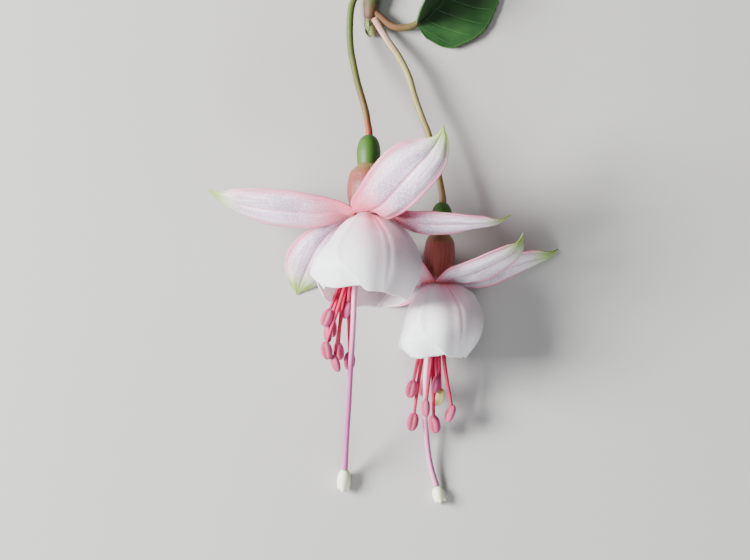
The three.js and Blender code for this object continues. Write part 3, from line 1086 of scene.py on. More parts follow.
FILAMENT_FINISH = RampFinish(
    "filament_crimson", glow=0.15, glow_reach=0.4, gloss=0.25, relief=0.02,
    stops=((0.0, (0.46, 0.03, 0.06)), (0.4, (0.46, 0.003, 0.04)), (0.8, (0.47, 0.008, 0.07)),
           (1.0, (0.46, 0.035, 0.13))),
    streak=(0.58, 0.05, 0.15), streak_share=0.2, roughness=0.45, lines=3.0,
)
ANTHER_FINISH = AntherFinish("anther_mauve", glow=0.15, glow_reach=0.5, gloss=0.3, fuzz=0.1)
RIPE_ANTHER_FINISH = replace(
    ANTHER_FINISH, name="anther_ripe", glow=0.2, relief=0.08,
    sac=(0.50, 0.50, 0.20), edge=(0.74, 0.72, 0.44), slit=(0.46, 0.30, 0.12),
)
LEFT_STYLE_FINISH = RampFinish(
    "style_mauve", glow_reach=0.8, gloss=0.35, relief=0.02,
    stops=((0.0, (0.74, 0.40, 0.50)), (0.42, (0.68, 0.34, 0.47)), (0.6, (0.50, 0.11, 0.30)),
           (0.85, (0.42, 0.055, 0.25)), (1.0, (0.46, 0.09, 0.29))),
    streak=(0.72, 0.32, 0.52), streak_share=0.3, roughness=0.34, lines=4.0,
)
RIGHT_STYLE_FINISH = replace(
    LEFT_STYLE_FINISH, name="style_pale",
    stops=((0.0, (0.74, 0.40, 0.50)), (0.42, (0.90, 0.82, 0.87)), (0.58, (0.86, 0.64, 0.75)),
           (0.74, (0.64, 0.21, 0.40)), (1.0, (0.56, 0.15, 0.35))),
    streak=(0.84, 0.52, 0.68),
)
STIGMA_FINISH = RampFinish(
    "stigma_cream", glow=0.3, glow_reach=0.8, gloss=0.5,
    stops=((0.0, (0.62, 0.66, 0.40)), (0.3, (0.76, 0.82, 0.56)), (0.8, (0.86, 0.88, 0.68)),
           (1.0, (0.78, 0.78, 0.54))),
    streak=(0.60, 0.70, 0.42), streak_share=0.35, roughness=0.32, lines=8.0,
)
LEAF_FINISH = LeafFinish("leaf_dark_green", glow=0.05, glow_reach=0.5, gloss=0.35, fuzz=0.05, relief=0.12)
BARK_FINISH = BarkFinish("bark_olive", glow=0.05, glow_reach=0.5, gloss=0.35, fuzz=0.15, relief=0.12)
FLOOR_FINISH = FloorFinish("studio_floor", glow=0.0, gloss=0.2)


# ---------------------------------------------------------------- bloom

RIM_RADIUS = 3.7
SEPAL_OUTLINE = (0.4, 0.58, 0.78, 0.92, 0.99, 1.0, 0.96, 0.86, 0.68, 0.36, 0.03)
STIGMA_OUTLINE = (
    (0.0, 0.0), (0.42, 0.0), (0.7, 0.1), (0.93, 0.3), (1.0, 0.5), (0.95, 0.74), (0.84, 0.93), (0.7, 0.98),
    (0.5, 0.9), (0.25, 0.8), (0.0, 0.78),
)
OVARY_OUTLINE = (
    (0.0, 0.0), (0.5, 0.0), (0.84, 0.0), (0.89, 0.03), (0.94, 0.16), (1.0, 0.43), (0.95, 0.63), (0.82, 0.81),
    (0.62, 0.93), (0.38, 1.0), (0.0, 1.02),
)


@dataclass
class Seat:
    """Where a bloom grows, and what its parts have in common.

    Attributes:
        hub: The middle of the rim where the sepals spread.
        tilt: How far the mouth points upwards, in degrees.
        tube_swing: How far the tube swings to the left, in degrees.
        swing: How far the corolla swings to the left.
        style_exit: Where the style leaves the mouth, from the hub.
    """

    side: BloomSide
    hub: Point
    tilt: float
    tube_swing: float
    swing: float
    tube_length: float
    style_exit: Point

    def __post_init__(self) -> None:
        """Sets the axes of the tube and of the corolla."""
        self.tube_axes = BloomAxes(self.hub, self.tilt, self.tube_swing)
        self.axes = BloomAxes(self.hub, self.tilt, self.swing)

    def point(self, offset: Point) -> Vector:
        """A point that is measured from the hub, in the spray's frame."""
        return Vector(self.hub) + Vector(offset)


@dataclass
class BloomPart:
    """A part of a bloom."""

    seat: Seat

    def build(self) -> None:
        """Builds the part's pieces. Each part builds its own."""
        raise NotImplementedError

    def dress(self, skin: Skin, piece: str, finish: Finish, slot: Slot, node: str) -> None:
        """Turns a skin into a piece for a node, both named without their side."""
        side = self.seat.side.value
        skin.become(f"{side}_{piece}", finish, slot, [f"{side}_{node}"])


@dataclass
class Sepal:
    """One sepal.

    Attributes:
        path: Its middle line from the tube's rim to its tip, from the hub.
        across: The way across it at its foot, its middle and its tip.
        outlines: The shares of that width on its two sides, evenly spaced from foot to tip.
        keel: How far its keel lies from its middle line, as a share of the half width.
        fold: How deep the groove along its keel is.
        bulge: How far each half swells beside the groove.
        crown: How far it arches across, as a share of the half width.
    """

    path: Sequence[Point]
    across: Sequence[Point]
    half_width: float
    outlines: tuple[Sequence[float], Sequence[float]] = (SEPAL_OUTLINE, SEPAL_OUTLINE)
    keel: float = 0.0
    fold: float = 0.35
    bulge: float = 0.55
    crown: float = 0.16
    edge_lift: float = 0.35
    ripple: float = 0.35
    route: Route = field(init=False)

    def __post_init__(self) -> None:
        """Lays the sepal's middle line."""
        self.route = Route(self.path)
        ways = [Vector(way).normalized() for way in self.across]
        self.foot_way, self.middle_way, self.tip_way = ways[0], ways[1], ways[-1]

    def _way(self, t: float, tangent: Vector) -> Vector:
        """Turns the way across from the foot's to the middle's and the tip's.

        Args:
            t: From 0 at the foot to 1 at the tip.
            tangent: The middle line's direction there.

        Returns:
            The way across, at right angles to the middle line.
        """
        way = self.foot_way.lerp(self.middle_way, smoothstep(t, 0.0, 0.2))
        way = way.lerp(self.tip_way, smoothstep(t, 0.4, 0.9))
        return (way - tangent * way.dot(tangent)).normalized()

    def point(self, s: float, t: float) -> Vector:
        """Finds a point of the blade, measured from the hub.

        Args:
            s: From -1 to 1 across.
            t: From 0 at the foot to 1 at the tip.

        Returns:
            The point, in millimetres.
        """
        tangent = self.route.tangent(t)
        way = self._way(t, tangent)
        inner = way.cross(tangent)
        near, far = (self.half_width * max(read_list(outline, t), 0.03) for outline in self.outlines)
        half = near + (far - near) * smoothstep(s, -0.4, 0.4)
        wrap = (1.0 - smoothstep(t, 0.0, 0.2)) * (s * half) ** 2 / (2.0 * RIM_RADIUS)
        body = smoothstep(t, 0.05, 0.3) * (1.0 - smoothstep(t, 0.75, 1.0))
        crown = self.half_width * self.crown * body
        out = abs(s)
        offset = s * half + self.keel * (1.0 - s * s) * body * self.half_width
        relief = -crown * out ** 1.4 + body * self.bulge * math.sin(math.pi * min(out, 1.0)) ** 2
        relief -= body * self.fold * hump(s, 0.0, 0.1)
        relief += self.edge_lift * body * smoothstep(out, 0.8, 1.0)
        place = self.route.at(t)
        ripple = grain(place + way * offset, 0.16) * self.ripple * body * out
        return place + way * offset - tangent * wrap + inner * (relief + ripple)


Span = tuple[Sepal, float, float, float]


@dataclass
class Calyx(BloomPart):
    """The tube with its rim and four sepals, grown as one skin.

    Attributes:
        neck_share: The radius of its neck, as a share of the greatest one.
        lip_place: How far its lip stands beyond the hub.
        tube_shares: The tube's radius from the ovary to the lip, as shares.
        flare_start: How long the sepals keep the lip's turn before they run straight.
    """

    radius: float
    sepals: Sequence[Sepal]
    finish: SepalFinish
    wall: float = 0.62
    neck_share: float = 0.52
    bore: float = 1.15
    lip_place: float = 0.4
    tube_shares: Sequence[float] = (0.86, 0.95, 1.0, 0.99, 0.93, 0.84)
    flare_start: float = 0.9
    columns: int = 32
    tube_rows: int = 30
    sepal_rows: int = 96

    def _spans(self) -> list[Span]:
        """Shares the tube out among its sepals.

        Returns:
            Each sepal with its middle angle and the angles where it meets its neighbours.
        """
        axes = self.seat.tube_axes
        placed = [(axes.angle_of(sepal.path[0]), sepal) for sepal in self.sepals]
        placed.sort(key=lambda pair: pair[0])
        found = []
        for i, (angle, sepal) in enumerate(placed):
            before = placed[i - 1][0] - (TURN if i == 0 else 0.0)
            last = i == len(placed) - 1
            after = placed[0 if last else i + 1][0] + (TURN if last else 0.0)
            found.append((sepal, angle, (before + angle) / 2.0, (after + angle) / 2.0))
        return found

    def _angle(self, s: float, span: Span) -> float:
        """The angle round the tube at s across a sepal's quarter."""
        _, middle, low, high = span
        return middle - s * (middle - low) if s > 0.0 else middle - s * (high - middle)

    def _tube_surface(self, span: Span) -> Surface:
        """Shapes the quarter of the tube that carries a sepal.

        Args:
            span: The sepal and its angles.

        Returns:
            The surface, from the ovary to the lip.
        """
        length = self.seat.tube_length
        shares = (self.neck_share, *self.tube_shares, RIM_RADIUS / self.radius)

        def surface(across: float, along: float) -> Vector:
            """Finds a point of the tube.

            Args:
                across: Across the skin, from 0 to 1.
                along: From the ovary to the lip, from 0 to 1.

            Returns:
                The point, in millimetres.
            """
            angle = self._angle(spread(across), span)
            ribs = 0.015 * math.cos(4.0 * angle) * smoothstep(along, 0.0, 0.3)
            outside = self.radius * read_list(shares, along) * (1.0 + ribs)
            middle = outside - self._tube_wall(across, along) / 2.0
            return self.seat.tube_axes.out(angle, middle, -length + along * (length + self.lip_place))

        return surface

    def _tube_wall(self, _across: float, along: float) -> float:
        """The tube's wall, thicker at its neck."""
        neck_wall = self.radius * self.neck_share - self.bore
        return self.wall + (neck_wall - self.wall) * (1.0 - smoothstep(along, 0.0, 0.2))

    def _sepal_surface(self, span: Span) -> Surface:
        """Shapes a sepal, which leaves the tube as a flare of its quarter.

        Args:
            span: The sepal and its angles.

        Returns:
            The surface, from the lip to the tip.
        """
        sepal = span[0]

        def surface(across: float, along: float) -> Vector:
            """Finds a point of the sepal.

            Args:
                across: Across it, from 0 to 1.
                along: From the rim to its tip, from 0 to 1.

            Returns:
                The point, in millimetres.
            """
            s = spread(across)
            reach = along * sepal.route.length
            turn_out = 1.0 - math.exp(-reach / self.flare_start)
            radius = RIM_RADIUS - self.wall / 2.0 + reach - 0.4 * turn_out
            place = self.lip_place + 0.3 * turn_out
            flare = self.seat.tube_axes.out(self._angle(s, span), radius, place)
            point = flare.lerp(self.seat.point(sepal.point(s, along)), smoothstep(along, 0.0, 0.13))
            point.z = max(point.z, self._sepal_wall(across, along) / 2.0)
            return point

        return surface

    def _sepal_wall(self, across: float, along: float) -> float:
        """Thins a sepal towards its margin and its tip.

        Args:
            across: The share across.
            along: The share along.

        Returns:
            The blade's thickness.
        """
        out = abs(spread(across))
        thin = 1.0 - 0.55 * smoothstep(out, 0.55, 1.0) * smoothstep(along, 0.0, 0.1)
        return self.wall * thin * (1.0 - 0.35 * smoothstep(along, 0.8, 1.0))

    def build(self) -> None:
        """Builds the calyx."""
        skin = Skin()
        split = self.finish.tube_share
        for span in self._spans():
            skin.lay(self.columns, self.tube_rows, self._tube_surface(span), self._tube_wall, (0.0, split))
            skin.lay(self.columns, self.sepal_rows, self._sepal_surface(span), self._sepal_wall, (split, 1.0))
        skin.weld(4e-6).thicken().rest_on_floor()
        self.dress(skin, "calyx_skin", self.finish, Slot.SEPAL, "calyx")


@dataclass
class Corolla(BloomPart):
    """Four overlapping petals on a collar.

    Attributes:
        round_side: The wall on its right, as places along the axis with their radii.
        straight_side: The wall on its left.
        turn: The angle of its front petal's middle, in degrees.
        lifted: The angle where its hem rises, and the share of the length that it rises by.
        folds: Soft lengthwise folds: angle, width and height, in degrees and millimetres.
        lengths: The length of each petal, as a share, from the front one round.
        half_span: How far each petal reaches to each side of its middle, in degrees.
        depths: How far out each petal lies, over its neighbours.
        front_press: How much flatter it is in front.
        rounding: How much shorter a petal is at its left edge, as a share.
    """

    round_side: Sequence[Pair]
    straight_side: Sequence[Pair]
    turn: float
    lifted: Pair
    folds: Sequence[tuple[float, float, float]]
    lengths: Sequence[float]
    # The front petal's finish, darker and greyer with painted shade.
    front_painted_shade_finish: PetalFinish
    half_span: float = 63.0
    depths: Sequence[float] = (0.5, 0.0, -1.0, 0.0)
    wall: float = 0.36
    front_press: float = 0.2
    rounding: float = 0.46
    midrib: float = 0.22
    edge_lift: float = 0.2
    columns: int = 60
    rows: int = 60

    def _wall_line(self, angle: float, share: float) -> Pair:
        """Blends the walls of the two sides.

        Args:
            angle: The angle round the axis.
            share: The share of the wall's length.

        Returns:
            The place along the axis and the radius.
        """
        blend = (1.0 - math.cos(angle)) / 2.0
        right = [read_list(values, share) for values in zip(*self.round_side)]
        left = [read_list(values, share) for values in zip(*self.straight_side)]
        place, radius = (a + (b - a) * blend for a, b in zip(right, left))
        return place, radius

    def _reach(self, number: int, s: float, angle: float) -> float:
        """Finds how far down the wall a petal's hem lies, less at its rounded margins.

        Args:
            number: The petal, counted round from the front one.
            s: From -1 to 1 across it.
            angle: The angle round the axis.

        Returns:
            The share of the wall.
        """
        rounding = self.rounding * (1.0 - (1.0 - s * s) ** 0.65) if s > 0.0 else 0.03 * s ** 4
        middle, rise = self.lifted
        away = degrees_from(angle, middle)
        reach = 1.0 - rounding - rise * hump(away, 0.0, 30.0) + 0.025 * hump(s, 0.0, 0.05)
        return min(reach * self.lengths[number], 1.0)

    def _fold_height(self, angle: float) -> float:
        """Adds up the folds.

        Args:
            angle: The angle round the axis.

        Returns:
            How far they push the wall out there.
        """
        height = 0.12 * math.cos(5.0 * angle)
        for middle, width, rise in self.folds:
            height += rise * hump(degrees_from(angle, middle), 0.0, width)
        return height

    def _petal_surface(self, number: int) -> Surface:
        """Shapes one petal.

        Args:
            number: The petal, counted round from the front one.

        Returns:
            The surface, from the collar to the hem.
        """
        middle = self.turn + number * 360.0 / len(self.depths)
        axes = self.seat.axes

        def surface(across: float, along: float) -> Vector:
            """Finds a point of the petal.

            Args:
                across: Across it, from 0 to 1.
                along: From its foot to its hem, from 0 to 1.

            Returns:
                The point, in millimetres.
            """
            s = spread(across)
            angle = math.radians(middle + s * self.half_span)
            place, out = self._wall_line(angle, along * self._reach(number, s, angle))
            free = smoothstep(along, 0.05, 0.3)
            hem = smoothstep(along, 0.8, 1.0)
            lift = self.edge_lift * smoothstep(abs(s), 0.8, 1.0)
            out *= 1.0 - self.front_press * max(math.sin(angle), 0.0) * hump(place, 3.0, 3.2)
            out += free * (self.depths[number] + self._fold_height(angle) + lift)
            out -= self.midrib * hump(s, 0.0, 0.05) * free * (1.0 - hem)
            out += hem * 0.18 * math.sin(6.0 * angle + 0.6)
            place += hem * 0.15 * math.sin(9.0 * angle)
            uneven = grain(axes.out(angle, out, place), 0.11) * 0.35 * free
            point = axes.out(angle, out + uneven, place)
            point.z = max(point.z, self._petal_wall(across, along) / 2.0)
            return point

        return surface

    def _petal_wall(self, across: float, along: float) -> float:
        """The petal's thickness, which thins towards its edges and hem."""
        edge = max(abs(spread(across)), along)
        return self.wall * (1.0 - 0.45 * smoothstep(edge, 0.7, 1.0))

    def _collar_surface(self, across: float, along: float) -> Vector:
        """Shapes the ring that the petals grow from.

        Args:
            across: The share round the bloom.
            along: The share round the ring's own section.

        Returns:
            The point, in millimetres.
        """
        turn = along * TURN
        radius, place = 2.5 + 0.3 * math.cos(turn), -0.05 + 1.15 * math.sin(turn)
        return self.seat.axes.out(across * TURN, radius, place)

    def build(self) -> None:
        """Builds the petals and their collar."""
        for number in range(len(self.depths)):
            skin = Skin().lay(self.columns, self.rows, self._petal_surface(number), self._petal_wall)
            # The front petal takes its darker copy of the finish, with painted shade.
            finish = PETAL_FINISH if number else self.front_painted_shade_finish
            skin.thicken().rest_on_floor()
            self.dress(skin, f"petal_{number + 1}", finish, Slot.PETAL, "corolla")
        collar = Skin().lay(48, 12, self._collar_surface).weld()
        self.dress(collar, "collar", PETAL_FINISH, Slot.PETAL, "corolla")


@dataclass
class Anther:
    """One anther, as a two-lobed sac.

    Attributes:
        lean: The way its length points.
        roll: How far it is turned about its length, in degrees.
        mouth: The X and Z at which its filament passes the style's exit, from the hub.
        hang: How far along the sac the filament meets it, as a share.
    """

    at: Point
    lean: Point
    roll: float
    mouth: Pair
    ripe: bool = False
    length: float = 4.9
    width: float = 3.1
    depth: float = 2.3
    hang: float = 0.25

    def knot(self) -> Vector:
        """Where the filament meets it, from the hub."""
        return Vector(self.at) - Vector(self.lean).normalized() * self.length * self.hang

    def surface(self, seat: Seat) -> Surface:
        """Shapes the anther.

        Args:
            seat: Where its bloom grows.

        Returns:
            The surface: round the anther across, and from end to end along.
        """
        way = Vector(self.lean).normalized()
        side = way.cross(UP).normalized()
        side.rotate(Matrix.Rotation(math.radians(self.roll), 3, way))
        lift = side.cross(way)

        def skin(across: float, along: float) -> Vector:
            """Finds a point of the sac.

            Args:
                across: Round it, from 0 to 1.
                along: Along it, from 0 to 1.

            Returns:
                The point, in millimetres.
            """
            angle = across * TURN
            turn = along * math.pi
            ring = math.sin(turn) ** 0.8
            groove = 0.34 * hump(across, 0.25, 0.045) + 0.26 * hump(across, 0.75, 0.06)
            notch = 0.1 * abs(math.cos(turn)) ** 6 * (1.0 - abs(math.cos(angle)))
            reach = ring * (1.0 - groove * ring)
            offset = side * math.cos(angle) * reach * self.width / 2.0
            offset += lift * math.sin(angle) * reach * self.depth / 2.0
            offset -= way * math.cos(turn) * self.length / 2.0 * (1.0 - notch)
            return seat.point(self.at) + offset

        return skin


@dataclass
class Stamens(BloomPart):
    """Eight filaments on a ring in the mouth, each with its anther."""

    anthers: Sequence[Anther]
    radius: float = 0.5
    ring_middle: float = 1.475
    ring_half: float = 0.425

    def _filament(self, anther: Anther) -> Rod:
        """Leads a filament from the ring to its anther.

        Args:
            anther: The anther.

        Returns:
            The filament, which tapers towards it.
        """
        axes = self.seat.axes
        across, height = anther.mouth
        leaves = Vector((across, self.seat.style_exit[1], height))
        own = axes.turn.transposed()
        away = own @ leaves - own @ Vector(self.seat.style_exit)
        angle = math.atan2(away.y, away.x)
        feet = [axes.out(angle, self.ring_middle, place) for place in (-0.2, 2.4)]
        route = Route([*feet, self.seat.point(leaves), self.seat.point(anther.knot())])
        return Rod(route, lambda share: self.radius * (1.45 - 0.62 * share), caps=(0.3, 0.4))

    def _ring_surface(self, across: float, along: float) -> Vector:
        """The ring that the filaments stand on."""
        radius = self.ring_middle + self.ring_half * math.cos(along * TURN)
        return self.seat.axes.out(across * TURN, radius, -0.3 + 0.6 * math.sin(along * TURN))

    def build(self) -> None:
        """Builds the filaments and the anthers."""
        filaments = Skin().lay(40, 12, self._ring_surface)
        sacs, ripe_sacs = Skin(), Skin()
        for anther in self.anthers:
            filaments.lay(12, 60, self._filament(anther).surface)
            (ripe_sacs if anther.ripe else sacs).lay(40, 28, anther.surface(self.seat))
        self.dress(filaments.weld(), "filaments", FILAMENT_FINISH, Slot.STAMEN, "stamens")
        self.dress(sacs.weld(), "anthers", ANTHER_FINISH, Slot.STAMEN, "stamens")
        if any(anther.ripe for anther in self.anthers):
            self.dress(ripe_sacs.weld(), "ripe_anther", RIPE_ANTHER_FINISH, Slot.STAMEN, "stamens")


@dataclass
class Style(BloomPart):
    """The style, from the ovary through the tube, and the stigma at its end.

    Attributes:
        path: Its course beyond the mouth, from the hub.
        stigma_tip: The stigma's far end, from the hub.
        lobe: How far the stigma's four lobes stand out at its end, as a share of its length.
    """

    path: Sequence[Point]
    stigma_tip: Point
    stigma_radius: float
    finish: RampFinish
    radius: float = 0.74
    lobe: float = 0.07

    def _rod(self) -> Rod:
        """Leads the style through the tube and the corolla, and out.

        Returns:
            The style, which swells a little towards the stigma.
        """
        seat = self.seat
        inside = [seat.tube_axes.out(0.0, 0.0, -seat.tube_length * share) for share in (1.0, 0.5)]
        inside += [seat.axes.out(0.0, 0.0, place) for place in (-1.0, 2.0)]
        return Rod(
            Route([*inside, *(seat.point(point) for point in (seat.style_exit, *self.path))]),
            lambda share: self.radius * (0.94 + 0.1 * smoothstep(share, 0.85, 1.0)),
            ribs=lambda angle, share: 0.04 * math.cos(4.0 * angle),
        )

    def _stigma_surface(self) -> Surface:
        """Shapes the four-lobed stigma.

        Returns:
            The surface, from the style's end round the lobes and into the dip between them.
        """
        foot, tip = self.seat.point(self.path[-1]), self.seat.point(self.stigma_tip)
        way = (tip - foot).normalized()
        length = (tip - foot).length
        side = way.cross(UP).normalized()
        lift = side.cross(way)
        outline = outline_route(STIGMA_OUTLINE)

        def surface(across: float, along: float) -> Vector:
            """Finds a point of the stigma.

            Args:
                across: Round it, from 0 to 1.
                along: From its foot to its end, from 0 to 1.

            Returns:
                The point, in millimetres.
            """
            angle = across * TURN
            share = outline.at(along)
            lobes = math.cos(4.0 * angle + 0.6)
            open_end = smoothstep(along, 0.5, 0.75) * smoothstep(share.x, 0.0, 0.6)
            radius = share.x * self.stigma_radius * (0.97 + 0.05 * lobes * smoothstep(along, 0.25, 0.6))
            place = length * (share.y * (1.0 - self.lobe) + self.lobe * lobes * open_end)
            return foot + way * place + around(side, lift, angle) * radius

        return surface

    def build(self) -> None:
        """Builds the style and its stigma."""
        style = Skin().lay(20, 170, self._rod().surface).weld().rest_on_floor()
        self.dress(style, "style_stem", self.finish, Slot.STYLE, "style")
        stigma = Skin().lay(64, 48, self._stigma_surface()).weld().rest_on_floor()
        self.dress(stigma, "stigma_lobes", STIGMA_FINISH, Slot.STIGMA, "stigma")


@dataclass
class Ovary(BloomPart):
    """The green seed vessel between the pedicel and the tube.

    Attributes:
        overlap: How far it reaches into the tube.
    """

    length: float
    radius: float
    overlap: float = 0.1

    def build(self) -> None:
        """Builds the ovary, from the tube back to the pedicel."""
        outline = outline_route(OVARY_OUTLINE)

        def surface(across: float, along: float) -> Vector:
            """Finds a point of the ovary.

            Args:
                across: Round it, from 0 to 1.
                along: Along its outline, from 0 to 1.

            Returns:
                The point, in millimetres.
            """
            angle = across * TURN
            share = outline.at(along)
            ribs = 1.0 + 0.018 * math.cos(4.0 * angle)
            place = -self.seat.tube_length + self.overlap - share.y * self.length
            return self.seat.tube_axes.out(angle, share.x * self.radius * ribs, place)

        self.dress(Skin().lay(48, 44, surface).weld(), "ovary_body", OVARY_FINISH, Slot.OVARY, "ovary")


@dataclass
class Pedicel(BloomPart):
    """The thin stalk that a bloom hangs on, which swells a little at both ends.

    Attributes:
        ovary_length: The length of the ovary that it starts in.
        path: Its course to the stem, in the spray's frame.
        overlap: How far it reaches into the ovary.
    """

    ovary_length: float
    path: Sequence[Point]
    finish: RampFinish
    radius: float = 0.92
    overlap: float = 0.5

    def _thickness(self, share: float) -> float:
        """Its radius at a share of its length."""
        swell = 0.1 * hump(share, 0.0, 0.04) + 0.12 * hump(share, 1.0, 0.06)
        return self.radius * (0.96 + swell)

    def build(self) -> None:
        """Builds the pedicel."""
        place = -self.seat.tube_length - self.ovary_length + self.overlap
        route = Route([self.seat.tube_axes.out(0.0, 0.0, place), *self.path])
        rod = Rod(route, self._thickness, caps=(0.3, 0.4),
                  ribs=lambda angle, share: 0.03 * math.cos(3.0 * angle + 6.0 * share))
        skin = Skin().lay(24, 120, rod.surface).weld()
        self.dress(skin, "pedicel_stem", self.finish, Slot.PEDICEL, "pedicel")


@dataclass
class Bloom:
    """One open bloom on its pedicel."""

    pedicel: Pedicel
    ovary: Ovary
    calyx: Calyx
    corolla: Corolla
    stamens: Stamens
    style: Style

    def build(self) -> None:
        """Builds every piece of the bloom, from its pedicel to its stigma."""
        for part in (self.pedicel, self.ovary, self.calyx, self.corolla, self.stamens, self.style):
            part.build()


# ---------------------------------------------------------------- stem and leaf


@dataclass
class Stem:
    """The cut end of the stem, with its swollen node, lying flat on its underside.

    Attributes:
        radii: Its radii, evenly spaced along it.
        scars: Where a pair of leaves stood, as shares of its length.
    """

    path: Sequence[Pair] = ((-3.2, 74.8), (-3.2, 65.0), (-3.1, 59.5), (-3.4, 55.4), (-3.9, 51.7))
    radii: Sequence[float] = (2.15, 2.15, 2.15, 2.65, 2.2, 1.5)
    height: float = 1.95
    scars: Sequence[float] = (0.58, 0.74)

    def _uneven(self, angle: float, share: float) -> float:
        """Gives it faint ribs, and a ridge where each leaf pair stood.

        Args:
            angle: The angle round it.
            share: The share of its length.

        Returns:
            The change of radius, as a share.
        """
        ridge = sum(0.05 * hump(share, place, 0.018) for place in self.scars)
        lumps = 0.035 * grain(Vector((math.cos(angle), math.sin(angle), share * 9.0)), 1.0)
        return 0.015 * math.cos(5.0 * angle) + ridge + lumps

    def build(self) -> None:
        """Builds the stem."""
        route = Route([(x, y, self.height) for x, y in self.path])
        rod = Rod(route, lambda share: read_list(self.radii, share) * 0.96, (0.12, 0.8), self._uneven)
        skin = Skin().lay(48, 110, rod.surface).weld().rest_on_floor()
        skin.become("stem_shoot", BARK_FINISH, Slot.STEM, ["stem"])


@dataclass
class TerminalBud:
    """The bud at the stem's tip: a core with small leaves folded over it."""

    base: Point = (-4.1, 52.2, 1.7)
    tip: Point = (-3.3, 47.2, 1.7)
    radius: float = 1.15
    wall: float = 0.34
    leaves: int = 4

    def _leaf_surface(self, number: int) -> Surface:
        """Shapes one small leaf, which hugs the bud.

        Args:
            number: Which one it is. Every second one starts further up.

        Returns:
            The surface, from its foot to its tip.
        """
        base, tip = Vector(self.base), Vector(self.tip)
        way = (tip - base).normalized()
        reach = (tip - base).length
        out = around(way.cross(UP), UP, number * math.pi / 2.0 + math.pi / 4.0)
        across_way = way.cross(out)
        stage = 0.4 if number % 2 else 0.1

        def surface(across: float, along: float) -> Vector:
            """Finds a point of the small leaf.

            Args:
                across: Across it, from 0 to 1.
                along: From its foot to its tip, from 0 to 1.

            Returns:
                The point, in millimetres.
            """
            s = spread(across)
            width = self.radius * 0.8 * math.sin(math.pi * (0.2 + 0.78 * along)) ** 0.8
            lift = self.radius * (0.8 + 0.3 * math.sin(math.pi * along) - 0.35 * s * s)
            notch = 0.05 * math.sin(14.0 * math.pi * along) * abs(s) ** 3
            place = base + way * reach * (stage + 0.58 * along) + out * lift
            return place + across_way * width * (s + notch)

        return surface

    def build(self) -> None:
        """Builds the bud."""
        route = Route([self.base, self.tip])
        rod = Rod(route, lambda share: self.radius * (0.95 - 0.55 * share * share), caps=(0.2, 0.6))
        core = Skin().lay(24, 30, rod.surface).weld()
        core.become("bud_core", BUD_FINISH, Slot.BUD, ["terminal_bud"])
        for number in range(self.leaves):
            leaf = Skin().lay(14, 28, self._leaf_surface(number), lambda across, along: self.wall)
            leaf.thicken().rest_on_floor()
            leaf.become(f"bud_leaf_{number + 1}", BUD_FINISH, Slot.BUD, ["terminal_bud"])


